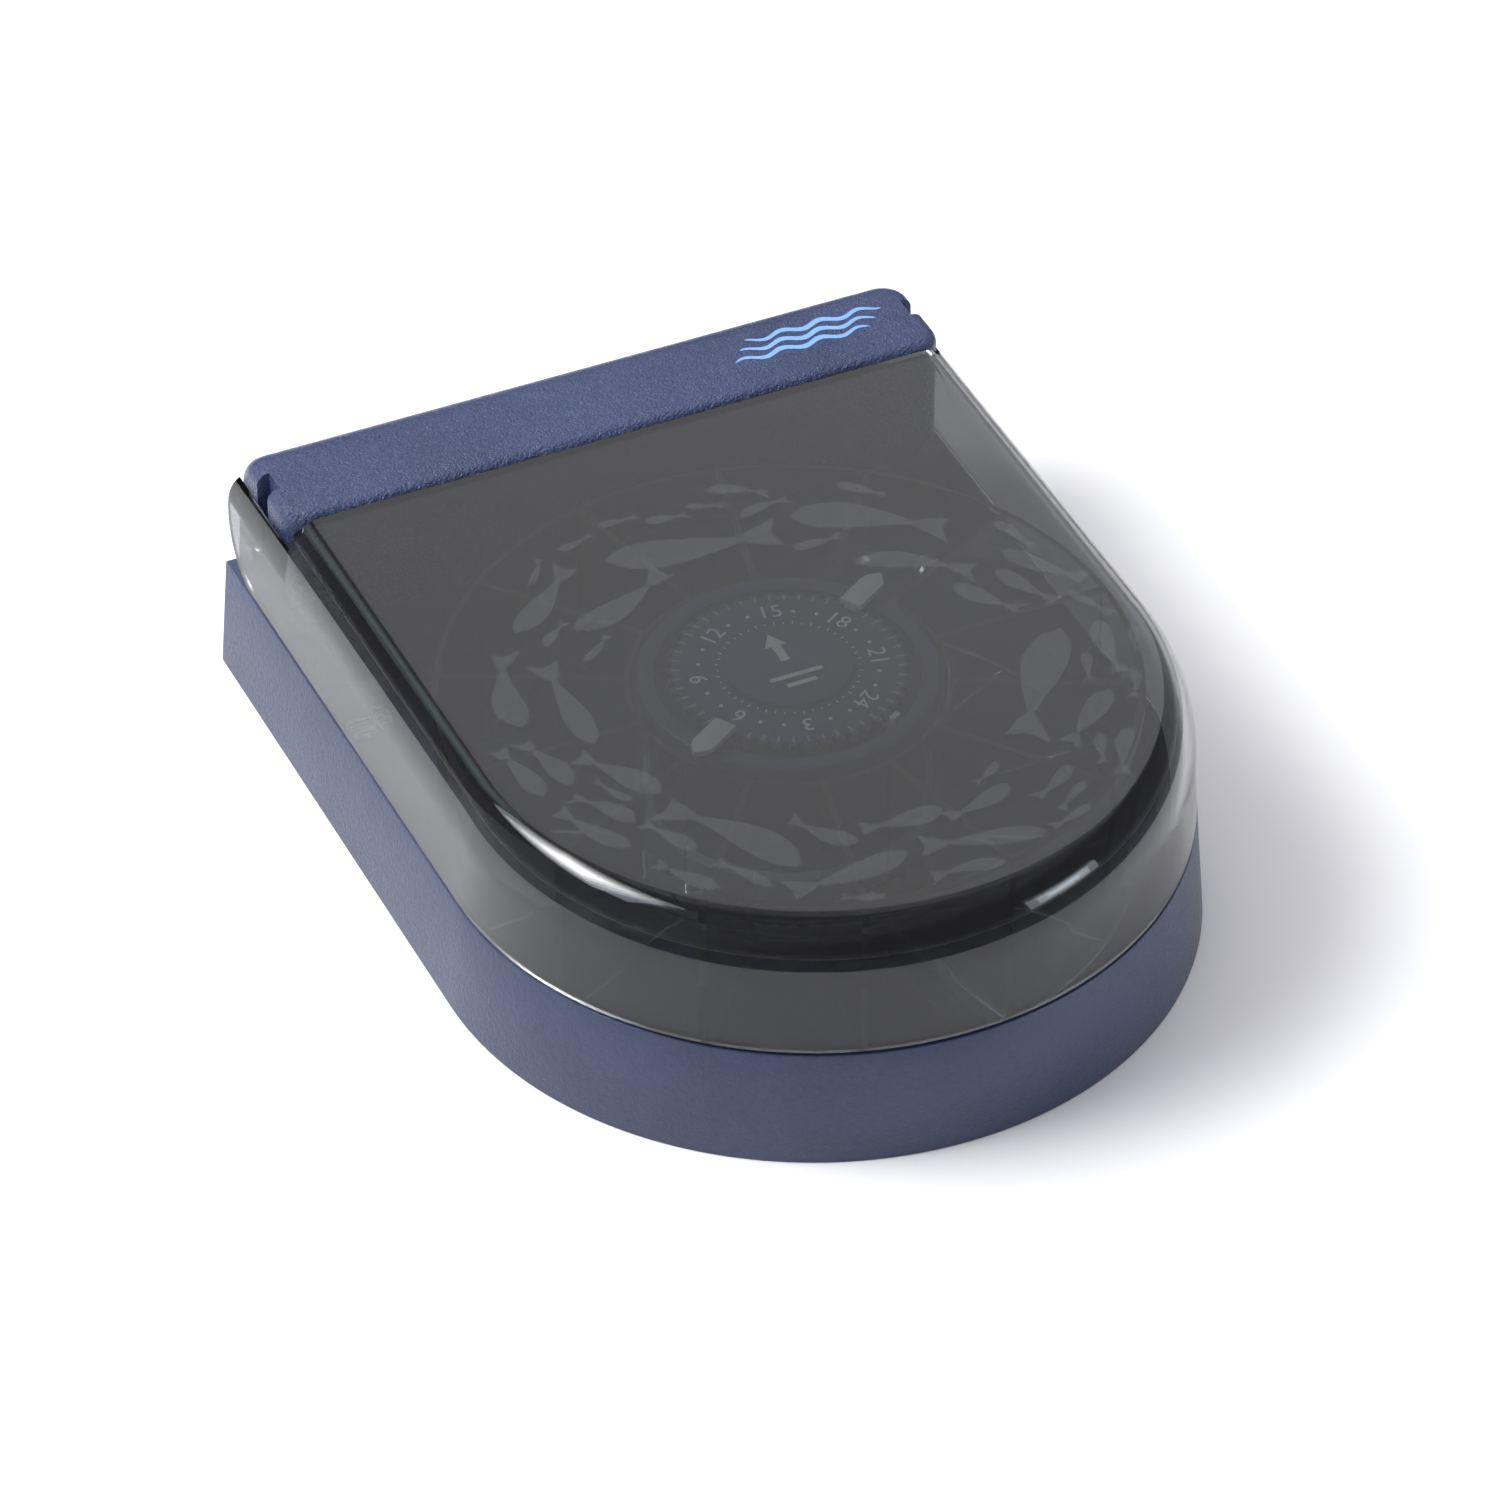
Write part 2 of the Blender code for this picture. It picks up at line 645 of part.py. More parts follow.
def make_lid():
    lid = casing_solid("lid", lid_sections(0.0), BACK_Y, SMOKE)
    cut(lid, casing_solid("lid_hollow", lid_sections(LID_WALL), BACK_Y + 5.0 * MM))
    top = TOTAL_HEIGHT + 5.0 * MM
    bottom = BASE_HEIGHT - 5.0 * MM
    far = BACK_Y + 5.0 * MM
    corner_x = EAR_INNER_X - LID_REAR_CORNER
    corner_y = LID_REAR_Y + LID_REAR_CORNER
    room = arc(LID_REAR_CORNER, math.pi, 1.5 * math.pi, 4, (-corner_x, corner_y))
    room += arc(LID_REAR_CORNER, 1.5 * math.pi, 2 * math.pi, 4, (corner_x, corner_y))
    room += [(EAR_INNER_X, far), (-EAR_INNER_X, far)]
    cut(lid, plate("housing_room", room, bottom, top))
    rise = math.asin((TOTAL_HEIGHT - 2.6 * MM - PIVOT_Z) / EAR_RADIUS)
    round_end = arc(EAR_RADIUS, -math.pi / 2, rise, 12, (PIVOT_Y, PIVOT_Z))
    behind = [(PIVOT_Y, bottom)] + round_end
    behind += [(round_end[-1][0] - 0.8 * MM, top), (far, top), (far, bottom)]
    wide = HALF_WIDTH + 5.0 * MM
    cut(lid, extruded_x("behind_ears", behind, -wide, wide))
    for side in (-1, 1):
        join(lid, rod(
            f"hinge_peg_{side}", PEG_RADIUS,
            (side * (EAR_INNER_X + 0.6 * MM), PIVOT_Y, PIVOT_Z),
            (side * (HOUSING_HALF_WIDTH - 1.8 * MM), PIVOT_Y, PIVOT_Z), segments=20,
        ))
    return lid


# ------------------------------------------------------------------ tray

def make_feed_tray():
    axis = (0.0, AXIS_Y, 0.0)
    pitch = 2 * math.pi / COMPARTMENTS
    tray = ring(
        "feed_tray", TRAY_RADIUS, TRAY_HUB_RADIUS, TRAY_BOTTOM, TRAY_TOP, axis, CLEAR,
        segments=COMPARTMENTS * 4,
    )
    inner = TRAY_HUB_RADIUS + TRAY_WALL
    outer = TRAY_RADIUS - TRAY_WALL
    inner_half = pitch / 2 - math.asin(TRAY_WALL / 2 / inner)
    outer_half = pitch / 2 - math.asin(TRAY_WALL / 2 / outer)
    middle = -math.pi / 2
    pocket = arc(outer, middle - outer_half, middle + outer_half, 4)
    pocket += arc(inner, middle + inner_half, middle - inner_half, 3)
    for i in range(COMPARTMENTS):
        cutter = plate(
            f"compartment_{i}", pocket, TRAY_BOTTOM - 1.0 * MM, TRAY_TOP + 1.0 * MM, location=axis,
        )
        cutter.rotation_euler = (0.0, 0.0, pitch * i)
        cut(tray, cutter)
    return tray


# ------------------------------------------------------------------ gears

def gear_outline(teeth, phase, inward=False):
    """Four points a tooth. An inward gear's teeth point to its axis."""
    pitch_radius = GEAR_MODULE * teeth / 2
    pitch = 2 * math.pi / teeth
    tip = pitch_radius + (-ADDENDUM if inward else ADDENDUM)
    root = pitch_radius + (DEDENDUM if inward else -DEDENDUM)
    points = []
    for i in range(teeth):
        middle = phase + pitch * i
        for offset, radius in ((-0.27, root), (-0.12, tip), (0.12, tip), (0.27, root)):
            angle = middle + offset * pitch
            points.append((radius * math.cos(angle), radius * math.sin(angle)))
    return points


def outside_mesh_phase(angle, teeth, driver_teeth, driver_phase):
    """Phase of a gear that an outside gear drives; angle points from the driver to it."""
    share = (angle - driver_phase) / (2 * math.pi / driver_teeth)
    return angle + math.pi - (0.5 - share) * (2 * math.pi / teeth)


def inside_mesh_phase(angle, teeth, ring_phase):
    """Phase of a pinion inside the ring gear; angle points from the ring's axis to it."""
    share = (angle - ring_phase) / (2 * math.pi / RING_TEETH)
    return angle - (share - 0.5) * (2 * math.pi / teeth)


DRIVE_AT = Vector((0.0, GEAR_MODULE * (RING_TEETH - DRIVE_TEETH) / 2))
IDLER_DIRECTION = math.radians(-43.0)
IDLER_AT = DRIVE_AT + GEAR_MODULE * (DRIVE_TEETH + IDLER_TEETH) / 2 * Vector(
    (math.cos(IDLER_DIRECTION), math.sin(IDLER_DIRECTION)))
MOTOR_DIRECTION = math.radians(-76.0)
MOTOR_AT = IDLER_AT + GEAR_MODULE * (IDLER_TEETH + MOTOR_TEETH) / 2 * Vector(
    (math.cos(MOTOR_DIRECTION), math.sin(MOTOR_DIRECTION)))


def make_gears():
    axis = (0.0, AXIS_Y, 0.0)
    ring_outline = circle(TRAY_HUB_RADIUS - GAP, 56)
    plate(
        "tray_gear_ring", ring_outline, GEAR_BOTTOM, GEAR_TOP, WHITE, axis,
        holes=[gear_outline(RING_TEETH, 0.0, inward=True)],
    )
    drive_phase = inside_mesh_phase(math.pi / 2, DRIVE_TEETH, 0.0)
    idler_phase = outside_mesh_phase(IDLER_DIRECTION, IDLER_TEETH, DRIVE_TEETH, drive_phase)
    motor_phase = outside_mesh_phase(MOTOR_DIRECTION, MOTOR_TEETH, IDLER_TEETH, idler_phase)
    bore = circle(PIN_RADIUS + GAP, 16)
    for name, teeth, phase, at in (
        ("drive_pinion", DRIVE_TEETH, drive_phase, DRIVE_AT),
        ("idler_gear", IDLER_TEETH, idler_phase, IDLER_AT),
    ):
        plate(
            name, gear_outline(teeth, phase), GEAR_BOTTOM, GEAR_TOP, WHITE,
            (at.x, AXIS_Y + at.y, 0.0), holes=[bore],
        )
    at = (MOTOR_AT.x, AXIS_Y + MOTOR_AT.y, 0.0)
    pinion = plate(
        "motor_pinion", gear_outline(MOTOR_TEETH, motor_phase), GEAR_BOTTOM, GEAR_TOP, STEEL, at,
    )
    join(pinion, rod(
        "motor_shaft", 0.8 * MM, (at[0], at[1], GEAR_TOP - 0.5 * MM), (at[0], at[1], 15.5 * MM),
        segments=12,
    ))


# ------------------------------------------------------------------ clock can

def make_movement_can():
    axis = (0.0, AXIS_Y, 0.0)
    inner = CAN_RADIUS - CAN_WALL
    floor_top = CAN_BOTTOM + 1.2 * MM
    profile = [
        (CAN_RADIUS, CAN_TOP), (CAN_RADIUS, CAN_BOTTOM), (POST_RADIUS + GAP, CAN_BOTTOM),
        (POST_RADIUS + GAP, floor_top), (inner, floor_top), (inner, CAN_TOP),
    ]
    can = turned("movement_can", profile, axis, BLUE, closed=True, segments=48)
    into = CAN_BOTTOM + 0.6 * MM
    legs = ((-13.0 * MM, -12.5 * MM), (-15.0 * MM, 9.0 * MM), (6.0 * MM, -18.0 * MM))
    for i, (x, y) in enumerate(legs):
        join(can, rod(
            f"can_leg_{i}", 2.0 * MM, (x, AXIS_Y + y, DECK_TOP + GAP), (x, AXIS_Y + y, into), segments=16,
        ))
    for name, at in (("drive_pin", DRIVE_AT), ("idler_pin", IDLER_AT)):
        join(can, rod(
            name, PIN_RADIUS, (at.x, AXIS_Y + at.y, DECK_TOP + GAP), (at.x, AXIS_Y + at.y, into), segments=14,
        ))
    cut(can, rod(
        "shaft_hole", 1.4 * MM, (MOTOR_AT.x, AXIS_Y + MOTOR_AT.y, CAN_BOTTOM - 1.0 * MM),
        (MOTOR_AT.x, AXIS_Y + MOTOR_AT.y, floor_top + 1.0 * MM), segments=14,
    ))
    for i, (x, y) in enumerate(WIRE_RISERS):
        cut(can, rod(
            f"can_wire_hole_{i}", 1.1 * MM, (x, y, CAN_BOTTOM - 1.0 * MM), (x, y, floor_top + 1.0 * MM),
            segments=12,
        ))
    return can


def make_can_contents():
    axis = (0.0, AXIS_Y, 0.0)
    ring("tray_bush", TRAY_HUB_RADIUS - GAP, CAN_RADIUS + GAP, 13.5 * MM, 18.0 * MM, axis, WHITE, 48)
    plate(
        "circuit_board", circle(CAN_RADIUS - CAN_WALL - 0.8 * MM, 40), BOARD_BOTTOM, BOARD_TOP,
        BOARD, axis, holes=[circle(POST_RADIUS + 0.4 * MM, 20)],
    )
    profile = [
        (17.0 * MM, 34.4 * MM), (17.5 * MM, 33.8 * MM), (17.5 * MM, BOARD_TOP + GAP),
        (POST_RADIUS + 0.4 * MM, BOARD_TOP + GAP), (POST_RADIUS + 0.4 * MM, 34.4 * MM),
    ]
    turned("clock_movement", profile, axis, GREY, closed=True, segments=32)
    motor_radius = 7.6 * MM
    bore = 1.1 * MM
    low, high = 13.6 * MM, BOARD_BOTTOM - GAP
    profile = [
        (0.0, high), (motor_radius - 0.8 * MM, high), (motor_radius, high - 0.8 * MM),
        (motor_radius, low), (bore, low), (bore, low + 2.6 * MM), (0.0, low + 2.6 * MM),
    ]
    turned("tray_motor", profile, (MOTOR_AT.x, AXIS_Y + MOTOR_AT.y, 0.0), STEEL, segments=28)


def lever_place(radius, along=0.0, height=0.0):
    """A point at a radius on the lever's line, moved along the tangent and given its height."""
    x = radius * math.cos(LEVER_ANGLE) - along * math.sin(LEVER_ANGLE)
    y = radius * math.sin(LEVER_ANGLE) + along * math.cos(LEVER_ANGLE)
    return Vector((x, AXIS_Y + y, height))


def lever_block(name, radius_low, radius_high, half_width, bottom, top, material=None, along=0.0):
    """A block with its length along the lever."""
    bm = bmesh.new()
    bmesh.ops.create_cube(bm, size=1.0)
    size = Vector((radius_high - radius_low, 2 * half_width, top - bottom))
    bmesh.ops.scale(bm, vec=size, verts=bm.verts)
    centre = lever_place((radius_low + radius_high) / 2, along, (top + bottom) / 2)
    place = Matrix.Translation(centre) @ Matrix.Rotation(LEVER_ANGLE, 4, "Z")
    bmesh.ops.transform(bm, matrix=place, verts=bm.verts)
    return from_bmesh(name, bm, material)


def make_collar():
    axis = (0.0, AXIS_Y, 0.0)
    profile = [
        (COLLAR_RADIUS, COLLAR_TOP - 0.6 * MM), (COLLAR_RADIUS, PLATE_BOTTOM),
        (5.6 * MM, PLATE_BOTTOM), (5.6 * MM, PLATE_TOP), (COLLAR_INNER, PLATE_TOP),
        (COLLAR_INNER, COLLAR_TOP), (COLLAR_RADIUS - 0.6 * MM, COLLAR_TOP),
    ]
    collar = turned("collar_ring", profile, axis, BLUE, closed=True, segments=56)
    low = LEVER_PIVOT_RADIUS - 1.6 * MM
    high = LEVER_PIVOT_RADIUS + 1.6 * MM
    for side in (-1, 1):
        along = side * 2.0 * MM
        lug = lever_block(
            f"lever_lug_{side}", low, high, 0.6 * MM, PLATE_TOP - 0.4 * MM, 39.3 * MM, along=along,
        )
        join(collar, lug)
    cut(collar, lever_block(
        "trunnion_slot", LEVER_PIVOT_RADIUS - 0.8 * MM, LEVER_PIVOT_RADIUS + 0.8 * MM,
        4.0 * MM, LEVER_PIVOT_Z - 0.8 * MM, 40.5 * MM,
    ))
    return collar


def make_trip_lever():
    lever = lever_block(
        "trip_lever", 12.2 * MM, 21.2 * MM, 0.9 * MM, 38.5 * MM, 39.3 * MM, GREY,
    )
    join(lever, lever_block("lever_nose", 20.2 * MM, 21.2 * MM, 0.9 * MM, 38.8 * MM, 41.3 * MM))
    join(lever, rod(
        "lever_trunnion", 0.4 * MM,
        lever_place(LEVER_PIVOT_RADIUS, -2.5 * MM, LEVER_PIVOT_Z),
        lever_place(LEVER_PIVOT_RADIUS, 2.5 * MM, LEVER_PIVOT_Z), segments=10,
    ))
    return lever


# ------------------------------------------------------------------ dial

def make_dial():
    axis = (0.0, AXIS_Y, 0.0)
    pitch = 2 * math.pi / DIAL_NOTCHES
    rim = []
    for i in range(DIAL_NOTCHES):
        for offset, radius in (
            (-0.25, DIAL_RADIUS), (0.25, DIAL_RADIUS),
            (0.30, DIAL_RADIUS - 0.9 * MM), (0.70, DIAL_RADIUS - 0.9 * MM),
        ):
            angle = pitch * (i + offset)
            rim.append((radius * math.cos(angle), radius * math.sin(angle)))
    bore = POST_RADIUS + 0.6 * MM
    dial = plate("dial", rim, DIAL_BOTTOM, DIAL_TOP, DIAL_BLUE, axis, holes=[circle(bore, 24)])
    join(dial, ring("dial_hub", 5.2 * MM, bore, 35.0 * MM, DIAL_BOTTOM + 0.5 * MM, axis, segments=24))
    for i, angle in enumerate(TAB_ANGLES):
        notch = box(
            f"tab_notch_{i}",
            (TAB_INNER - 0.4 * MM, -1.6 * MM, DIAL_TOP - 0.9 * MM),
            (DIAL_RADIUS + 2.0 * MM, 1.6 * MM, DIAL_TOP + 1.0 * MM),
        )
        notch.location = axis
        notch.rotation_euler = (0.0, 0.0, angle)
        cut(dial, notch)
    return dial


def make_arrow_disc():
    stem = 2.6 * MM
    top = 42.2 * MM
    under = DIAL_TOP + 0.2 * MM
    profile = [
        (0.0, top), (ARROW_DISC_RADIUS - 0.3 * MM, top), (ARROW_DISC_RADIUS, top - 0.3 * MM),
        (ARROW_DISC_RADIUS, under), (stem, under), (stem, POST_TOP + GAP), (0.0, POST_TOP + GAP),
    ]
    return turned("arrow_disc", profile, (0.0, AXIS_Y, 0.0), DIAL_BLUE, segments=40)


def make_tabs():
    for i, angle in enumerate(TAB_ANGLES):
        half = TAB_WIDTH / 2
        outline = [
            (TAB_INNER, -half), (TAB_OUTER - 2.6 * MM, -half), (TAB_OUTER - 0.8 * MM, -half * 0.4),
            (TAB_OUTER, 0.0), (TAB_OUTER - 0.8 * MM, half * 0.4), (TAB_OUTER - 2.6 * MM, half),
            (TAB_INNER, half),
        ]
        bottom = DIAL_TOP + GAP
        tab = plate(
            f"tripper_tab_{i + 1}", outline, bottom, bottom + 1.1 * MM, GREY, (0.0, AXIS_Y, 0.0),
        )
        tab.rotation_euler = (0.0, 0.0, angle)
        peg = box(
            f"tab_peg_{i}",
            (TAB_INNER, -1.2 * MM, COLLAR_TOP + GAP), (TAB_INNER + 1.1 * MM, 1.2 * MM, bottom + 0.4 * MM),
        )
        peg.location = (0.0, AXIS_Y, 0.0)
        peg.rotation_euler = (0.0, 0.0, angle)
        join(tab, peg)


# ------------------------------------------------------------------ build

make_base_casing()
make_feed_deck()
for number, (screw_x, screw_y) in enumerate(DECK_SCREWS, 1):
    make_screw(f"deck_screw_{number}", screw_x, screw_y, DECK_TOP + GAP, 1.5 * MM)
for number, (screw_x, screw_y) in enumerate(HOUSING_SCREWS, 1):
    make_screw(f"housing_screw_{number}", screw_x, screw_y, 1.4 * MM, 14.0 * MM)
make_rear_housing()
make_battery_door()
make_cell()
make_contacts()
make_wires()
make_lid()
make_feed_tray()
make_gears()
make_movement_can()
make_can_contents()
make_collar()
make_trip_lever()
make_dial()
make_arrow_disc()
make_tabs()
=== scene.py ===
import json
import math
import random

import bmesh
import bpy
from mathutils import Matrix, Vector


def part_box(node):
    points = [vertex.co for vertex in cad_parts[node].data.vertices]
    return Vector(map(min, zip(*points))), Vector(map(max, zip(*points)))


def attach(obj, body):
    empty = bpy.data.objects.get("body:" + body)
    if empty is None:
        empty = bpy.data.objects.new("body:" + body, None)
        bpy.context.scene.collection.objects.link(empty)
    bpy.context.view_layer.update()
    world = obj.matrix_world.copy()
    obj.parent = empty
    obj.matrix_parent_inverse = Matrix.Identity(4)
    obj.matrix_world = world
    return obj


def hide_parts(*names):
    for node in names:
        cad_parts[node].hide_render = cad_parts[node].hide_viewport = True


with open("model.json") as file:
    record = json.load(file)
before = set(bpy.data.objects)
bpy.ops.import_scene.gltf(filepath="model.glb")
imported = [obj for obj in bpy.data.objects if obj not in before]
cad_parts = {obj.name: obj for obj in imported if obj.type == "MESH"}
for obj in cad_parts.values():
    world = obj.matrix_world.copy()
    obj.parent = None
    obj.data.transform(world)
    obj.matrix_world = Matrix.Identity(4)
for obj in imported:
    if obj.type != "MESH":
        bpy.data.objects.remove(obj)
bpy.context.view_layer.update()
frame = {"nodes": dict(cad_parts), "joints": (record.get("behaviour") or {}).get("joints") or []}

MM = 0.001
TAU = 2 * math.pi
QUARTER = math.pi / 2
FRONT = -QUARTER

# ------------------------------------------------------------------ places taken from the frame

BASE_LOW, BASE_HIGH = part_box("base_casing")
LID_LOW, LID_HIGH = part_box("lid")
BAR_LOW, BAR_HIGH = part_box("rear_housing")
TRAY_LOW, TRAY_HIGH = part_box("feed_tray")
DIAL_LOW, DIAL_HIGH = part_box("dial")
DISC_LOW, DISC_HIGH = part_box("arrow_disc")
COLLAR_LOW, COLLAR_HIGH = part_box("collar_ring")
DOOR_LOW, DOOR_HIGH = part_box("battery_door")
DECK_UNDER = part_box("feed_deck")[0].z
HINGE = next(joint for joint in frame["joints"] if joint["name"] == "lid_hinge")
DECK_SCREWS = [f"deck_screw_{number}" for number in range(1, 5)]
HOUSING_SCREWS = [f"housing_screw_{number}" for number in range(1, 3)]

PLAY = 0.3 * MM  # the room left between two parts
THROUGH = 1.0 * MM  # how far a cutting tool stands out of what it cuts

HALF_WIDTH = BASE_HIGH.x
BACK_Y = BASE_HIGH.y
ARC_Y = BASE_LOW.y + HALF_WIDTH
SEAM_Z = LID_LOW.z - PLAY
SEAM_HALF = LID_HIGH.x + 0.1 * MM
TOP_Z = BAR_HIGH.z
PIVOT_Y, PIVOT_Z = HINGE["pos_m"][1], HINGE["pos_m"][2]
AXIS_Y = (TRAY_LOW.y + TRAY_HIGH.y) / 2
AXIS = Vector((0.0, AXIS_Y, 0.0))
BAR_FRONT = BAR_LOW.y
BAR_HALF = BAR_HIGH.x
TRAY_RADIUS = TRAY_HIGH.x
DIAL_RADIUS = DIAL_HIGH.x
DIAL_TOP = DIAL_HIGH.z
TAB_ANGLES = (math.radians(32.0), math.radians(212.0))
CURVE_STEPS = 96


# ------------------------------------------------------------------ shader maths

class Value:
    """A shader socket that adds a Math node when it is added or multiplied."""

    def __init__(self, finish, socket):
        self.finish = finish
        self.socket = socket

    def math(self, operation, other):
        return self.finish.node("ShaderNodeMath", {"operation": operation}, {0: self, 1: other})

    def __add__(self, other):
        return self.math("ADD", other)

    def __mul__(self, other):
        return self.math("MULTIPLY", other)

    __radd__ = __add__
    __rmul__ = __mul__


class Finish:
    """A material being made: its node tree and its Principled shader."""

    def __init__(self, name, colour, roughness, **constants):
        self.material = bpy.data.materials.new(name)
        self.material.use_nodes = True
        self.nodes = self.material.node_tree.nodes
        self.shader = self.nodes["Principled BSDF"]
        self.to("Base Color", (*colour, 1.0))
        self.to("Roughness", roughness)
        for socket, value in constants.items():
            self.to(socket.replace("_", " "), value)

    def to(self, socket, value):
        self.feed(self.shader.inputs[socket], value)

    def feed(self, target, value):
        if isinstance(value, Value):
            self.material.node_tree.links.new(value.socket, target)
        else:
            target.default_value = value

    def node(self, kind, settings=None, sockets=None, out=0):
        """Any node: its settings are set first, then the values or links of its sockets."""
        made = self.nodes.new(kind)
        for name, value in (settings or {}).items():
            setattr(made, name, value)
        for key, value in (sockets or {}).items():
            self.feed(made.inputs[key], value)
        return Value(self, made.outputs[out])

    def place(self):
        return self.node("ShaderNodeTexCoord", out="Object")

    def noise(self, scale, detail=2.0, roughness=0.5, where=None):
        return self.node("ShaderNodeTexNoise", sockets={
            "Vector": where or self.place(), "Scale": scale, "Detail": detail, "Roughness": roughness,
        })

    def between(self, value, low, high, low_to=0.0, high_to=1.0):
        return self.node("ShaderNodeMapRange", {"clamp": True}, {
            "Value": value, "From Min": low, "From Max": high, "To Min": low_to, "To Max": high_to,
        })

    def wander(self, noise, low, high):
        """A value that goes from low to high as a noise does over its usual range."""
        return self.between(noise, 0.3, 0.7, low, high)

    def mix(self, share, first, second):
        """Two colours mixed."""
        return self.node("ShaderNodeMix", {"data_type": "RGBA"}, {
            0: share, 6: (*first, 1.0), 7: (*second, 1.0),
        }, out=2)

    def bump(self, height, distance):
        self.to("Normal", self.node("ShaderNodeBump", sockets={"Height": height, "Distance": distance}))


# ------------------------------------------------------------------ finishes

ACRYLIC_IOR = 1.49
ABS_IOR = 1.5


def darker(colour, share):
    return tuple(part * share for part in colour)


def moulded_blue(name, colour, grain_depth, roughness):
    """Spark-eroded blue moulding: fine even grain, slight cloudiness, a little sheen."""
    finish = Finish(name, colour, roughness, IOR=ABS_IOR)
    coarse = finish.noise(scale=900.0, detail=3.0, roughness=0.6)
    fine = finish.noise(scale=2600.0)
    cloud = finish.noise(scale=35.0, detail=3.0, roughness=0.55)
    light = tuple(min(1.0, part * 1.14 + 0.004) for part in colour)
    share = finish.between(cloud * 0.6 + coarse * 0.4, 0.38, 0.62)
    finish.to("Base Color", finish.mix(share, darker(colour, 0.88), light))
    finish.to("Roughness", finish.wander(fine, roughness - 0.07, roughness + 0.08))
    finish.bump(coarse * 0.55 + fine * 0.45, grain_depth)
    return finish.material


def see_through(name, tint, roughness):
    """Clear moulded plastic. Rays from the lamps pass straight through it, tinted."""
    finish = Finish(name, tint, roughness, IOR=ACRYLIC_IOR, Transmission_Weight=1.0)
    lamp_tint = [part ** 0.7 for part in tint]
    straight = finish.node("ShaderNodeBsdfTransparent", sockets={"Color": (*lamp_tint, 1.0)})
    shadow_ray = finish.node("ShaderNodeLightPath", out="Is Shadow Ray")
    diffuse_ray = finish.node("ShaderNodeLightPath", out="Is Diffuse Ray")
    surface = finish.node("ShaderNodeMixShader", sockets={
        0: shadow_ray.math("MAXIMUM", diffuse_ray), 1: Value(finish, finish.shader.outputs[0]), 2: straight,
    })
    finish.feed(finish.nodes["Material Output"].inputs["Surface"], surface)
    return finish.material


def plain_moulding(name, colour, roughness):
    """Smooth moulded plastic with faint flow marks."""
    finish = Finish(name, colour, roughness, IOR=ACRYLIC_IOR)
    flow = finish.noise(scale=120.0, detail=3.0, roughness=0.6)
    fine = finish.noise(scale=3000.0)
    finish.to("Base Color", finish.mix(finish.between(flow, 0.35, 0.65), darker(colour, 0.93), colour))
    finish.to("Roughness", finish.wander(flow, roughness - 0.04, roughness + 0.06))
    finish.bump(fine, 0.02 * MM)
    return finish.material


def bright_metal(name, colour, roughness):
    """Zinc-plated or drawn steel with fine brushing."""
    finish = Finish(name, colour, roughness, Metallic=1.0)
    stretched = finish.node("ShaderNodeMapping", sockets={
        "Vector": finish.place(), "Scale": (300.0, 4000.0, 4000.0),
    })
    brush = finish.noise(scale=1.0, detail=3.0, roughness=0.6, where=stretched)
    finish.to("Roughness", finish.wander(brush, roughness - 0.08, roughness + 0.12))
    finish.bump(brush, 0.01 * MM)
    return finish.material


def print_ink(name, colour):
    """Pad-printed ink: slightly uneven, satin."""
    finish = Finish(name, colour, 0.45)
    speck = finish.noise(scale=2200.0)
    finish.to("Base Color", finish.mix(finish.between(speck, 0.4, 0.6), darker(colour, 0.86), colour))
    finish.bump(speck, 0.01 * MM)
    return finish.material


def frosted_print():
    """A frosting on the clear lid, so thin that it hardly shows."""
    finish = Finish("frosted_print", (0.55, 0.57, 0.60), 0.6, Alpha=0.033)
    finish.to("Roughness", finish.wander(finish.noise(scale=1800.0, roughness=0.6), 0.5, 0.7))
    return finish.material


def board_green():
    """A circuit board: lighter tracks in a net over dark lacquer."""
    lacquer, track = (0.02, 0.13, 0.05), (0.05, 0.26, 0.10)
    finish = Finish("board_green", lacquer, 0.3)
    net = finish.node("ShaderNodeTexVoronoi", {"feature": "DISTANCE_TO_EDGE"}, {
        "Vector": finish.place(), "Scale": 420.0,
    }, out="Distance")
    field = finish.between(net, 0.03, 0.06)
    finish.to("Base Color", finish.mix(field, track, lacquer))
    finish.bump(field, 0.03 * MM)
    return finish.material


def cell_sleeve():
    """The cell's sleeve: dark, with a plain copper-coloured band at its positive end."""
    dark, copper = (0.02, 0.02, 0.022), (0.55, 0.27, 0.10)
    band_start = 12.0 * MM
    finish = Finish("cell_sleeve", dark, 0.28, Metallic=0.3)
    along = finish.node("ShaderNodeSeparateXYZ", sockets={0: finish.place()}, out="X")
    band = finish.between(along, band_start - 0.1 * MM, band_start + 0.1 * MM)
    finish.to("Base Color", finish.mix(band, dark, copper))
    finish.to("Roughness", finish.wander(finish.noise(scale=90.0), 0.22, 0.34))
    return finish.material


BLUE = moulded_blue("blue_moulding", (0.034, 0.047, 0.102), grain_depth=0.22 * MM, roughness=0.36)
BLUE_GRAINED = moulded_blue(
    "blue_grained_moulding", (0.039, 0.056, 0.131), grain_depth=0.8 * MM, roughness=0.25)
BLUE_INNER = moulded_blue("blue_inner_moulding", (0.030, 0.040, 0.095), grain_depth=0.04 * MM, roughness=0.4)
SMOKE = see_through("smoke_lid", (0.335, 0.34, 0.35), roughness=0.0)
# A dark tint: painted shade on the lid's bottom rim, for the gap over the base, and the darker end-on look of
# the plastic at the ears' edges and the top's back edge.
SMOKE_EDGE_AND_GAP_SHADE = see_through("smoke_lid_edge_and_gap_shade", (0.035, 0.032, 0.032), roughness=0.08)
CLEAR = see_through("clear_tray", (0.66, 0.68, 0.70), roughness=0.05)
DIAL_BLUE = plain_moulding("dial_blue", (0.040, 0.057, 0.125), roughness=0.38)
GREY = plain_moulding("light_grey", (0.62, 0.64, 0.66), roughness=0.42)
ACETAL = plain_moulding("white_acetal", (0.78, 0.78, 0.75), roughness=0.38)
STEEL = bright_metal("bright_steel", (0.62, 0.62, 0.63), roughness=0.28)
WHITE_INK = print_ink("white_ink", (0.82, 0.84, 0.86))
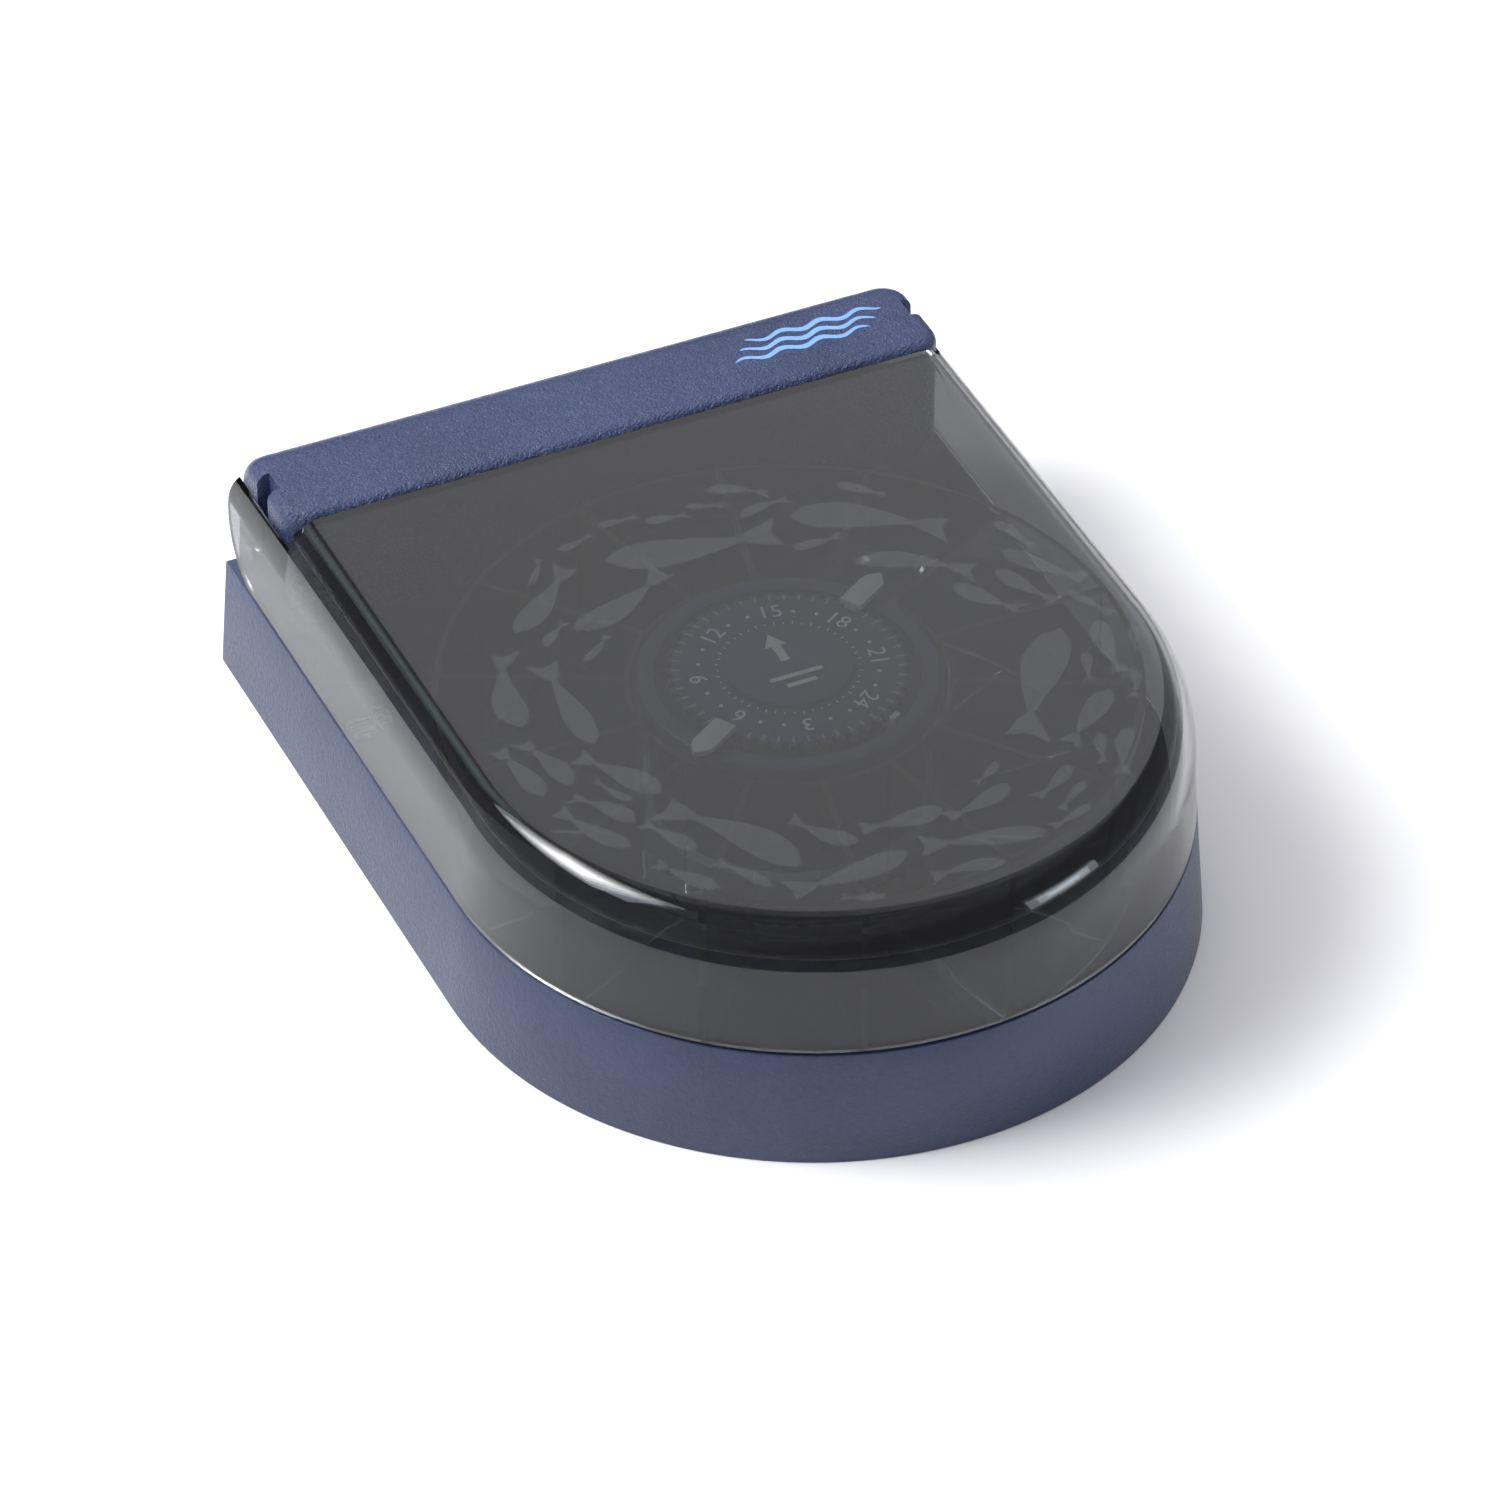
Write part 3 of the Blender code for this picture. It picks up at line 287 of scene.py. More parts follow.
GREY_INK = print_ink("grey_ink", (0.30, 0.32, 0.36))
BLUE_INK = print_ink("light_blue_ink", (0.21, 0.42, 0.90))
RED_LEAD = plain_moulding("red_lead", (0.50, 0.02, 0.02), roughness=0.5)
BLACK_LEAD = plain_moulding("black_lead", (0.015, 0.015, 0.016), roughness=0.5)


# ------------------------------------------------------------------ shape helpers

def new_object(name, bm, material=None):
    mesh = bpy.data.meshes.new(name)
    bm.to_mesh(mesh)
    bm.free()
    made = bpy.data.objects.new(name, mesh)
    bpy.context.scene.collection.objects.link(made)
    if material:
        mesh.materials.append(material)
    return made


def finished(piece, body, nodes=(), sharp=32.0):
    """Smooth shading, then the piece rides on its body and stands for its CAD nodes."""
    piece.data.shade_smooth()
    piece.data.set_sharp_from_angle(angle=math.radians(sharp))
    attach(piece, body)
    if nodes:
        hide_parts(*nodes)


def settle(piece):
    """The piece's mesh becomes what its modifiers make, with none left on it."""
    bpy.context.view_layer.update()
    evaluated = piece.evaluated_get(bpy.context.evaluated_depsgraph_get())
    mesh = bpy.data.meshes.new_from_object(evaluated)
    piece.modifiers.clear()
    old = piece.data
    piece.data = mesh
    bpy.data.meshes.remove(old)


def carve(piece, steps):
    """Booleans in order: each step is DIFFERENCE or UNION and a tool object, which is removed."""
    for operation, tool in steps:
        modifier = piece.modifiers.new(tool.name, "BOOLEAN")
        modifier.operation = operation
        modifier.solver = "EXACT"
        modifier.object = tool
    settle(piece)
    for _, tool in steps:
        bpy.data.objects.remove(tool, do_unlink=True)


def cut(*tools):
    return [("DIFFERENCE", tool) for tool in tools]


def joined(*tools):
    return [("UNION", tool) for tool in tools]


def round_edges(bm, edges, width):
    bmesh.ops.bevel(
        bm, geom=edges, offset=width, offset_type="OFFSET", segments=2, profile=0.5,
        affect="EDGES", material=-1,
    )


def box(name, low, high, material=None, edge=0.0):
    bm = bmesh.new()
    bmesh.ops.create_cube(bm, size=1.0)
    bmesh.ops.scale(bm, vec=Vector(high) - Vector(low), verts=bm.verts)
    bmesh.ops.translate(bm, vec=(Vector(high) + Vector(low)) / 2, verts=bm.verts)
    if edge:
        round_edges(bm, list(bm.edges), edge)
    return new_object(name, bm, material)


def rod(name, radius, start, end, segments=32):
    start, end = Vector(start), Vector(end)
    bm = bmesh.new()
    bmesh.ops.create_cone(
        bm, cap_ends=True, segments=segments, radius1=radius, radius2=radius, depth=(end - start).length,
    )
    turn = (end - start).to_track_quat("Z", "Y").to_matrix().to_4x4()
    bmesh.ops.transform(bm, matrix=Matrix.Translation((start + end) / 2) @ turn, verts=bm.verts)
    return new_object(name, bm)


def pillar(name, radius, x, y, bottom, top):
    """An upright rod."""
    return rod(name, radius, (x, y, bottom), (x, y, top))


def turned(name, profile, material, closed=True, steps=CURVE_STEPS):
    """A profile of (radius, height) points spun about the tray's axis."""
    bm = bmesh.new()
    verts = [bm.verts.new((radius, 0.0, height)) for radius, height in profile]
    pairs = list(zip(verts, verts[1:]))
    if closed:
        pairs.append((verts[-1], verts[0]))
    edges = [bm.edges.new(pair) for pair in pairs]
    bmesh.ops.spin(
        bm, geom=verts + edges, axis=(0, 0, 1), cent=(0, 0, 0), angle=TAU, steps=steps, use_merge=True,
    )
    bmesh.ops.remove_doubles(bm, verts=bm.verts, dist=0.002 * MM)
    bmesh.ops.recalc_face_normals(bm, faces=bm.faces)
    bmesh.ops.translate(bm, vec=AXIS, verts=bm.verts)
    return new_object(name, bm, material)


def arc(radius, start, end, steps, centre=(0.0, 0.0)):
    angles = [start + (end - start) * i / steps for i in range(steps + 1)]
    return [(centre[0] + radius * math.cos(a), centre[1] + radius * math.sin(a)) for a in angles]


def thicken(bm, face, shift):
    """The face becomes a solid whose thickness is shift."""
    grown = bmesh.ops.extrude_face_region(bm, geom=[face])
    moved = [item for item in grown["geom"] if isinstance(item, bmesh.types.BMVert)]
    bmesh.ops.translate(bm, vec=shift, verts=moved)
    bmesh.ops.recalc_face_normals(bm, faces=bm.faces)


def prism(name, outline, bottom, top, material=None, place=None, edge=0.0):
    """A flat outline given its thickness upwards, its edges rounded, then put in its place."""
    bm = bmesh.new()
    face = bm.faces.new([bm.verts.new((x, y, bottom)) for x, y in outline])
    thicken(bm, face, (0.0, 0.0, top - bottom))
    if edge:
        level = [e for e in bm.edges if abs(e.verts[0].co.z - e.verts[1].co.z) < 1e-7]
        round_edges(bm, level, edge)
    if place is not None:
        bmesh.ops.transform(bm, matrix=place, verts=bm.verts)
    return new_object(name, bm, material)


def along_x(name, outline, half):
    """An outline of (y, z) points given its width along X, as far to the left as to the right."""
    bm = bmesh.new()
    face = bm.faces.new([bm.verts.new((-half, y, z)) for y, z in outline])
    thicken(bm, face, (2 * half, 0.0, 0.0))
    return new_object(name, bm)


def stacked(name, levels, material):
    """Outlines with the same number of points, each at its height, joined from the lowest up."""
    bm = bmesh.new()
    height, outline = levels[0]
    bottom = bm.faces.new([bm.verts.new((x, y, height)) for x, y in outline])
    face = bottom
    for height, outline in levels[1:]:
        grown = bmesh.ops.extrude_face_region(bm, geom=[face])
        fresh = [item for item in grown["geom"] if isinstance(item, bmesh.types.BMFace)][0]
        if face is not bottom:
            bmesh.ops.delete(bm, geom=[face], context="FACES_ONLY")
        for loop, (x, y) in zip(fresh.loops, outline):
            loop.vert.co = (x, y, height)
        face = fresh
    bmesh.ops.recalc_face_normals(bm, faces=bm.faces)
    return new_object(name, bm, material)


def casing_plan(half_width, back_y):
    """The casing's plan: a half circle in front, straight sides and a straight back."""
    front = arc(half_width, math.pi, TAU, CURVE_STEPS, (0.0, ARC_Y))
    return front + [(half_width, back_y), (-half_width, back_y)]


def casing_stack(name, sections, material=None):
    """Casing plans of (height, half width, back) one above the other, closed at both ends."""
    return stacked(name, [(z, casing_plan(half, back)) for z, half, back in sections], material)


def merged(name, pieces, material):
    """Several mesh objects as one."""
    bm = bmesh.new()
    for piece in pieces:
        bm.from_mesh(piece.data)
        bpy.data.objects.remove(piece, do_unlink=True)
    return new_object(name, bm, material)


def about_axis(angle, radius=0.0, height=0.0):
    """The place at an angle and a radius from the tray's axis, turned to face outwards."""
    return (
        Matrix.Translation(AXIS + Vector((0.0, 0.0, height)))
        @ Matrix.Rotation(angle, 4, "Z")
        @ Matrix.Translation((radius, 0.0, 0.0))
    )


def middle_of(node):
    """The middle of a node's box in plan."""
    low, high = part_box(node)
    return (low.x + high.x) / 2, (low.y + high.y) / 2


# ------------------------------------------------------------------ camera, floor and lights

CAMERA_AZIMUTH = -24.78
CAMERA_ELEVATION = 39.35
CAMERA_DISTANCE = 1.303
CAMERA_AIM = Vector((-0.0041, -0.0024, 0.022))
LIGHT_AIM = Vector((0.0, 0.0, 0.02))
NEUTRAL, COOL, TEAL = (1.0, 1.0, 1.0), (0.84, 0.92, 1.0), (0.78, 1.0, 0.96)


def heading(azimuth, elevation):
    """Unit vector from degrees: azimuth 0 is to the front, growing to the right."""
    azimuth, elevation = math.radians(azimuth), math.radians(elevation)
    level = math.cos(elevation)
    return Vector((math.sin(azimuth) * level, -math.cos(azimuth) * level, math.sin(elevation)))


def aimed(name, data, place, target):
    holder = bpy.data.objects.new(name, data)
    holder.location = place
    holder.rotation_euler = (target - place).to_track_quat("-Z", "Y").to_euler()
    bpy.context.scene.collection.objects.link(holder)
    return holder


def make_camera():
    lens = bpy.data.cameras.new("camera")
    lens.sensor_width = 36.0
    lens.lens = 192.0
    lens.clip_end = 20.0
    place = CAMERA_AIM + heading(CAMERA_AZIMUTH, CAMERA_ELEVATION) * CAMERA_DISTANCE
    bpy.context.scene.camera = aimed("camera", lens, place, CAMERA_AIM)


def softbox(name, azimuth, elevation, distance, size, brightness, colour=NEUTRAL):
    """A rectangular light facing the feeder; brightness is its radiance, with white paper at 1."""
    width, height = size
    light = bpy.data.lights.new(name, "AREA")
    light.shape = "RECTANGLE"
    light.size = width
    light.size_y = height
    light.energy = brightness * math.pi * width * height
    light.color = colour
    return aimed(name, light, LIGHT_AIM + heading(azimuth, elevation) * distance, LIGHT_AIM)


def soft_edged(name, count, azimuth, elevation, distance, size, growth, brightness, fade, colour=NEUTRAL):
    """Softboxes behind one another, each larger than the last, so that their light has no hard edge."""
    for step in range(count):
        spread = (size[0] + growth[0] * step, size[1] + growth[1] * step)
        behind = distance + 0.01 * step
        softbox(f"{name}_{step}", azimuth, elevation, behind, spread, brightness - fade * step, colour)


def studio_sheet(name, bm, colour):
    """A matt sheet of the studio."""
    sheet = new_object(name, bm, Finish(name, colour, 0.9, Specular_IOR_Level=0.1).material)
    return sheet


def make_floor():
    bm = bmesh.new()
    bmesh.ops.create_grid(bm, x_segments=1, y_segments=1, size=3.0)
    studio_sheet("floor", bm, (0.90, 0.90, 0.91))


def make_outlet_card():
    """A dark card on the floor under the outlet, a painted shade, so that no light comes up through it."""
    outlet_reach = 41.5 * MM
    bm = bmesh.new()
    bmesh.ops.create_circle(bm, cap_ends=True, segments=48, radius=16.0 * MM)
    bmesh.ops.translate(bm, vec=(0.0, AXIS_Y - outlet_reach, 0.05 * MM), verts=bm.verts)
    # Painted shade: a dark disc on the floor where the base would shade it.
    studio_sheet("painted_shade_below", bm, (0.03, 0.03, 0.03))


def make_felt():
    """Dark felt round the floor's lit middle, which only the feeder's reflections see."""
    steps = 64
    bm = bmesh.new()
    near, far = (
        [bm.verts.new((x, y, 1.0 * MM)) for x, y in arc(radius, 0.0, TAU, steps)[:-1]]
        for radius in (0.205, 1.6)
    )
    for i in range(steps):
        after = (i + 1) % steps
        bm.faces.new((near[i], far[i], far[after], near[after]))
    felt = studio_sheet("felt", bm, (0.02, 0.02, 0.02))
    for kind in ("camera", "diffuse", "transmission", "shadow", "volume_scatter"):
        setattr(felt, f"visible_{kind}", False)


def make_lights():
    soft_edged(
        "key", 4, azimuth=-113.0, elevation=49.0, distance=1.30, size=(0.36, 0.27), growth=(0.20, 0.17),
        brightness=7.5, fade=1.6,
    )
    softbox(
        "window_left", azimuth=-86.0, elevation=44.0, distance=1.40, size=(0.25, 0.50), brightness=3.0,
        colour=(0.72, 0.84, 1.0),
    )
    soft_edged(
        "strip", 2, azimuth=-149.0, elevation=32.0, distance=1.50, size=(0.2, 0.7), growth=(0.2, 0.3),
        brightness=0.5, fade=0.0, colour=TEAL,
    )
    softbox("white_wall", azimuth=155.0, elevation=39.0, distance=1.80, size=(1.8, 1.4), brightness=0.90)
    soft_edged(
        "card", 3, azimuth=46.0, elevation=8.0, distance=1.20, size=(0.22, 0.08), growth=(0.14, 0.09),
        brightness=3.8, fade=0.6, colour=COOL,
    )
    fill = softbox(
        "overhead", azimuth=0.0, elevation=89.0, distance=2.20, size=(2.4, 2.4), brightness=1.06,
        colour=(0.97, 0.965, 1.0),
    )
    fill.visible_glossy = False
    fill.visible_transmission = False


def make_studio():
    make_floor()
    # Painted shade on the floor under the outlet.
    make_outlet_card()
    make_felt()
    world = bpy.data.worlds.new("studio")
    world.use_nodes = True
    backdrop = world.node_tree.nodes["Background"]
    backdrop.inputs["Color"].default_value = (0.94, 0.93, 1.0, 1.0)
    backdrop.inputs["Strength"].default_value = 0.27
    scene = bpy.context.scene
    scene.world = world
    make_lights()
    scene.view_settings.view_transform = "Standard"
    scene.view_settings.look = "None"


# ------------------------------------------------------------------ base

BASE_WALL = 2.0 * MM
FLOOR = 2.2 * MM
SUNK = FLOOR - 0.5 * MM  # where a post starts, a little below the floor's top
BOSS_RADIUS = 3.0 * MM
OUTLET_INNER, OUTLET_OUTER = 28.5 * MM, 54.5 * MM
OUTLET_SPREAD = math.radians(10.0)
DUCT_WALL = 1.2 * MM


def base_half(height):
    """Half width of the base's outside, which narrows a little from the floor to the seam."""
    return HALF_WIDTH - (HALF_WIDTH - SEAM_HALF) * height / SEAM_Z


def sector(inner, outer, half_angle):
    """Part of a ring round the tray's axis, in front of it."""
    steps = 8
    outside = arc(outer, FRONT - half_angle, FRONT + half_angle, steps, (0.0, AXIS_Y))
    return outside + arc(inner, FRONT + half_angle, FRONT - half_angle, steps, (0.0, AXIS_Y))


def duct_sector(extra_degrees):
    """The outlet's sector grown by the duct's wall."""
    spread = OUTLET_SPREAD + math.radians(extra_degrees)
    return sector(OUTLET_INNER - DUCT_WALL, OUTLET_OUTER + DUCT_WALL, spread)


def base_rooms():
    """The room under the deck and the battery bay behind it, with the wall between them left."""
    above = SEAM_Z + THROUGH
    room = casing_stack("front_room", [
        (height, base_half(height) - BASE_WALL, BAR_FRONT) for height in (FLOOR, above)
    ])
    bay_half = SEAM_HALF - BASE_WALL
    bay = box("bay", (-bay_half, BAR_FRONT + BASE_WALL, FLOOR), (bay_half, BACK_Y - BASE_WALL, above))
    return cut(room, bay)


def outlet_duct(duct_top):
    """A walled shaft from the deck through the floor, with a flared mouth."""
    duct = prism("duct", duct_sector(2.2), SUNK, duct_top)
    outlet = prism("outlet", sector(OUTLET_INNER, OUTLET_OUTER, OUTLET_SPREAD), -THROUGH, DECK_UNDER)
    flare = prism("flare", duct_sector(1.6), -THROUGH, 0.5 * MM)
    return joined(duct) + cut(outlet, flare)


def base_fixings(duct_top):
    """The centre post, the deck's screw bosses and the holes for the screws from below."""
    steps = joined(pillar("post", BOSS_RADIUS, 0, AXIS_Y, SUNK, DISC_LOW.z - PLAY))
    for screw in DECK_SCREWS:
        x, y = middle_of(screw)
        steps += joined(pillar("boss", BOSS_RADIUS, x, y, SUNK, duct_top))
        steps += cut(pillar("bore", 1.4 * MM, x, y, 0.6 * MM, 7.0 * MM))
    for screw in HOUSING_SCREWS:
        x, y = middle_of(screw)
        steps += cut(
            pillar("recess", 3.2 * MM, x, y, -THROUGH, 1.5 * MM),
            pillar("hole", 1.5 * MM, x, y, -THROUGH, 4.0 * MM),
        )
    return steps


def bay_fittings():
    """The cell's two end stops, the leads' holes and the battery door's way."""
    stop_x, stop_top, half_stop = 31.3 * MM, 19.0 * MM, 1.0 * MM
    lead_x, lead_z, lead_radius = 6.0 * MM, 3.8 * MM, 1.3 * MM
    steps = []
    for side in (-1, 1):
        x = side * stop_x
        steps += joined(box(
            "stop", (x - half_stop, BAR_FRONT + 1.0 * MM, SUNK), (x + half_stop, BACK_Y - 1.0 * MM, stop_top),
        ))
        x = side * lead_x
        steps += cut(rod(
            "lead_hole", lead_radius, (x, BAR_FRONT - THROUGH, lead_z),
            (x, BAR_FRONT + BASE_WALL + THROUGH, lead_z),
        ))
    return steps + cut(box(
        "door_way", (DOOR_LOW.x - PLAY, BACK_Y - BASE_WALL - THROUGH, DOOR_LOW.z - PLAY),
        (DOOR_HIGH.x + PLAY, BACK_Y + THROUGH, DOOR_HIGH.z + PLAY),
    ))


def make_base():
    edge = 0.35 * MM
    slight = edge * 0.3
    shell = casing_stack("base_shell", [
        (0.0, base_half(0.0) - edge, BACK_Y - edge),
        (slight, base_half(0.0) - slight, BACK_Y - slight),
        (edge, base_half(edge), BACK_Y),
        (SEAM_Z - edge, base_half(SEAM_Z - edge), BACK_Y),
        (SEAM_Z - slight, base_half(SEAM_Z) - slight, BACK_Y - slight),
        (SEAM_Z, base_half(SEAM_Z) - edge, BACK_Y - edge),
    ], BLUE)
    duct_top = DECK_UNDER - PLAY
    carve(shell, base_rooms() + outlet_duct(duct_top) + base_fixings(duct_top) + bay_fittings())
    finished(shell, "housing", ["base_casing"])


def make_battery_door():
    """The door in the back wall, with a finger hollow and grip ribs."""
    door = box("battery_door_skin", DOOR_LOW, DOOR_HIGH, BLUE, edge=0.35 * MM)
    half, y, z = 6.0 * MM, DOOR_HIGH.y + 5.2 * MM, 16.0 * MM
    carve(door, cut(rod("hollow", 6.0 * MM, (-half, y, z), (half, y, z), segments=48)))
    finished(door, "battery_door", ["battery_door"])
    ribs = []
    half, y = 7.0 * MM, DOOR_HIGH.y - 0.12 * MM
    for i in range(5):
        z = DOOR_LOW.z + (1.6 + 1.5 * i) * MM
        ribs.append(rod(f"rib_{i}", 0.35 * MM, (-half, y, z), (half, y, z), segments=12))
    finished(merged("battery_door_ribs", ribs, BLUE), "battery_door")


# ------------------------------------------------------------------ rear housing bar

SHOULDER = 8.4 * MM
BAR_EDGE = 2.2 * MM
FRONT_CORNER = 5.0 * MM
BACK_CORNER = 4.0 * MM
BAR_WALL = 2.0 * MM
BAR_END_WALL = 3.4 * MM
HINGE_SLOT_RADIUS = 2.3 * MM
HINGE_SLOT_DEPTH = 2.2 * MM


def bar_plan(edge_inset, back_inset):
    """The bar's plan with round corners; the front and the ends stand in by edge_inset."""
    steps = 8
    half, front, back = BAR_HALF - edge_inset, BAR_FRONT + edge_inset, BAR_HIGH.y - back_inset
    corner = FRONT_CORNER - edge_inset
    side, back_side, back_line = half - corner, half - BACK_CORNER, back - BACK_CORNER
    return (
        arc(corner, FRONT, 0.0, steps, (side, front + corner))
        + arc(BACK_CORNER, 0.0, QUARTER, steps, (back_side, back_line))
        + arc(BACK_CORNER, QUARTER, 2 * QUARTER, steps, (-back_side, back_line))
        + arc(corner, 2 * QUARTER, 3 * QUARTER, steps, (-side, front + corner))
    )


def rounding(radius, height):
    """How far a rounded top edge stands in at a height."""
    rise = max(0.0, height - (TOP_Z - radius))
    return radius - math.sqrt(max(0.0, radius ** 2 - rise ** 2))


def round_heights(radius, steps, last):
    """Heights of the first levels of a rounded top edge, closer together as it flattens."""
    return [TOP_Z - radius * (1.0 - math.sin(QUARTER * i / steps)) for i in range(last + 1)]


def bar_hollow():
    """The bar's inside, which follows the rounded back and the smaller rounding in front."""
    front, back, top = BAR_FRONT + BAR_WALL, BAR_HIGH.y - BAR_WALL, TOP_Z - BAR_WALL
    lip, shoulder = 1.2 * MM, SHOULDER - BAR_WALL
    outline = [(front, 0.0)] + arc(lip, math.pi, QUARTER, 4, (front + lip, top - lip))
    outline += arc(shoulder, QUARTER, 0.0, 10, (back - shoulder, top - shoulder)) + [(back, 0.0)]
    return cut(along_x("bar_hollow", outline, BAR_HALF - BAR_END_WALL))


def hinge_slots():
    """A slot open at the top in each end, which the lid's peg drops into."""
    steps = []
    radius = HINGE_SLOT_RADIUS
    for side in (-1, 1):
        outer, inner = side * (BAR_HALF + THROUGH), side * (BAR_HALF - HINGE_SLOT_DEPTH)
        steps += cut(
            rod("slot_round", radius, (inner, PIVOT_Y, PIVOT_Z), (outer, PIVOT_Y, PIVOT_Z)),
            box(
                "slot", (min(inner, outer), PIVOT_Y - radius, PIVOT_Z),
                (max(inner, outer), PIVOT_Y + radius, TOP_Z + THROUGH),
            ),
        )
    return steps


def make_bar():
    """The bar over the battery bay, round at the back, with screw bosses and the hinge's slots."""
    heights = round_heights(SHOULDER, 9, 6) + round_heights(BAR_EDGE, 8, 8)
    levels = [(SEAM_Z + PLAY, bar_plan(0.0, 0.0))]
    levels += [(z, bar_plan(rounding(BAR_EDGE, z), rounding(SHOULDER, z))) for z in sorted(heights)]
    bar = stacked("rear_bar", levels, BLUE_GRAINED)
    steps = bar_hollow()
    for screw in HOUSING_SCREWS:
        x, y = middle_of(screw)
        steps += joined(pillar("bar_boss", BOSS_RADIUS, x, y, FLOOR + PLAY, TOP_Z - 1.0 * MM))
        steps += cut(pillar("bar_bore", 1.5 * MM, x, y, 0.0, 16.0 * MM))
    carve(bar, steps + hinge_slots())
    finished(bar, "housing", ["rear_housing"], sharp=30.0)


def make_emblem():
    """Three plain waves in light blue on the bar's top, printed."""
    left, right = 25.0 * MM, 54.0 * MM
    middle, pitch, slant = BAR_FRONT + 11.4 * MM, 2.3 * MM, 2.0 * MM
    thick, point, swing, swings, lag = 1.1 * MM, 0.04 * MM, 0.6 * MM, 3.5, 0.9
    steps = 60
    waves = []
    for row in range(3):
        start, end = left + row * slant, right - (2 - row) * slant
        upper, lower = [], []
        for i in range(steps + 1):
            share = i / steps
            x = start + (end - start) * share
            y = middle + (row - 1) * pitch + swing * math.sin(TAU * share * swings + row * lag)
            width = thick * math.sin(math.pi * share) ** 0.4 + point
            upper.append((x, y + width / 2))
            lower.append((x, y - width / 2))
        waves.append(prism(f"wave_{row}", lower + upper[::-1], TOP_Z - 0.02 * MM, TOP_Z + 0.04 * MM))
    finished(merged("bar_waves", waves, BLUE_INK), "housing")


# ------------------------------------------------------------------ lid

LID_ROUND_WIDTH = 6.8 * MM
LID_ROUND_HEIGHT = 12.0 * MM
LID_TOP_HALF = 61.8 * MM
LID_WALL = 1.6 * MM
EAR_X = BAR_HALF + 0.4 * MM
EAR_RADIUS = PIVOT_Z - LID_LOW.z
EAR_TOP = TOP_Z - 2.6 * MM
PEG_RADIUS = 2.0 * MM


def lid_sections(inset, back):
    """Levels of the lid's outside, or of its inside if they stand in by the wall."""
    seam = LID_LOW.z
    lip = 0.3 * MM
    sections = []
    if inset:
        sections.append((seam - 2.0 * MM, LID_HIGH.x - inset, back))
    else:
        sections.append((seam, LID_HIGH.x - lip, back))
        seam += lip
    sections.append((seam, LID_HIGH.x - inset, back))
    across, down = LID_ROUND_WIDTH - inset, LID_ROUND_HEIGHT - inset
    for out, up in arc(1.0, 0.0, QUARTER, 16):
        half = LID_TOP_HALF - LID_ROUND_WIDTH + across * out
        sections.append((TOP_Z - LID_ROUND_HEIGHT + down * up, half, back))
    return sections


def lid_openings():
    """The lid's inside, the bar's room at the back, and what is cut away behind the two ears."""
    behind_y, above_z, below_z = BACK_Y + 5.0 * MM, TOP_Z + 5.0 * MM, SEAM_Z - 5.0 * MM
    hollow = casing_stack("lid_hollow", lid_sections(LID_WALL, behind_y))
    room_front, corner = BAR_FRONT - 1.0 * MM, 3.4 * MM
    side = EAR_X - corner
    room_plan = arc(corner, math.pi, 3 * QUARTER, 8, (-side, room_front + corner))
    room_plan += arc(corner, 3 * QUARTER, TAU, 8, (side, room_front + corner))
    room = prism("bar_room", room_plan + [(EAR_X, behind_y), (-EAR_X, behind_y)], below_z, above_z)
    relief = box("bar_relief", (-EAR_X, room_front, below_z), (EAR_X, behind_y, EAR_TOP))
    rise = math.asin((EAR_TOP - PIVOT_Z) / EAR_RADIUS)
    ear = arc(EAR_RADIUS, FRONT, rise, 28, (PIVOT_Y, PIVOT_Z))
    ear_end = ear[-1][0] - 0.8 * MM
    behind = [(PIVOT_Y, below_z)] + ear + [(ear_end, above_z), (behind_y, above_z), (behind_y, below_z)]
    return cut(hollow, room, relief, along_x("behind_ears", behind, HALF_WIDTH + 5.0 * MM))


def hinge_pegs():
    """A peg on each ear's inside that reaches into the bar's end."""
    outer, inner = EAR_X + 0.6 * MM, BAR_HALF - 1.8 * MM
    return joined(*(
        rod("peg", PEG_RADIUS, (side * outer, PIVOT_Y, PIVOT_Z), (side * inner, PIVOT_Y, PIVOT_Z))
        for side in (-1, 1)
    ))


def darken_rims(lid):
    """The lid's bottom rim gets a painted shade, a dark tint for the shadowed gap over the base; its ears'
    round edges and the top's back edge get the same tint, as the tinted plastic looks darker end on.
    """
    lid.data.materials.append(SMOKE_EDGE_AND_GAP_SHADE)
    for face in lid.data.polygons:
        centre = face.center
        away = math.hypot(centre.y - PIVOT_Y, centre.z - PIVOT_Z)
        on_ear = abs(away - EAR_RADIUS) < 0.1 * MM and abs(face.normal.x) < 0.1
        top_back = centre.z > TOP_Z - 5.0 * MM and face.normal.y > 0.9
        rim = centre.z < LID_LOW.z + 0.2 * MM
        # The bottom rim's dark tint is painted shade for the gap between lid and base.
        if rim or centre.z > PIVOT_Z - 6.0 * MM and (on_ear or top_back):
            face.material_index = 1


def make_lid():
    lid = casing_stack("lid_shell", lid_sections(0.0, BACK_Y), SMOKE)
    carve(lid, lid_openings() + hinge_pegs())
    darken_rims(lid)
    finished(lid, "lid", ["lid"], sharp=25.0)


# ------------------------------------------------------------------ tray

COMPARTMENTS = 14
TRAY_WALL = 1.2 * MM
TRAY_HUB = 25.4 * MM


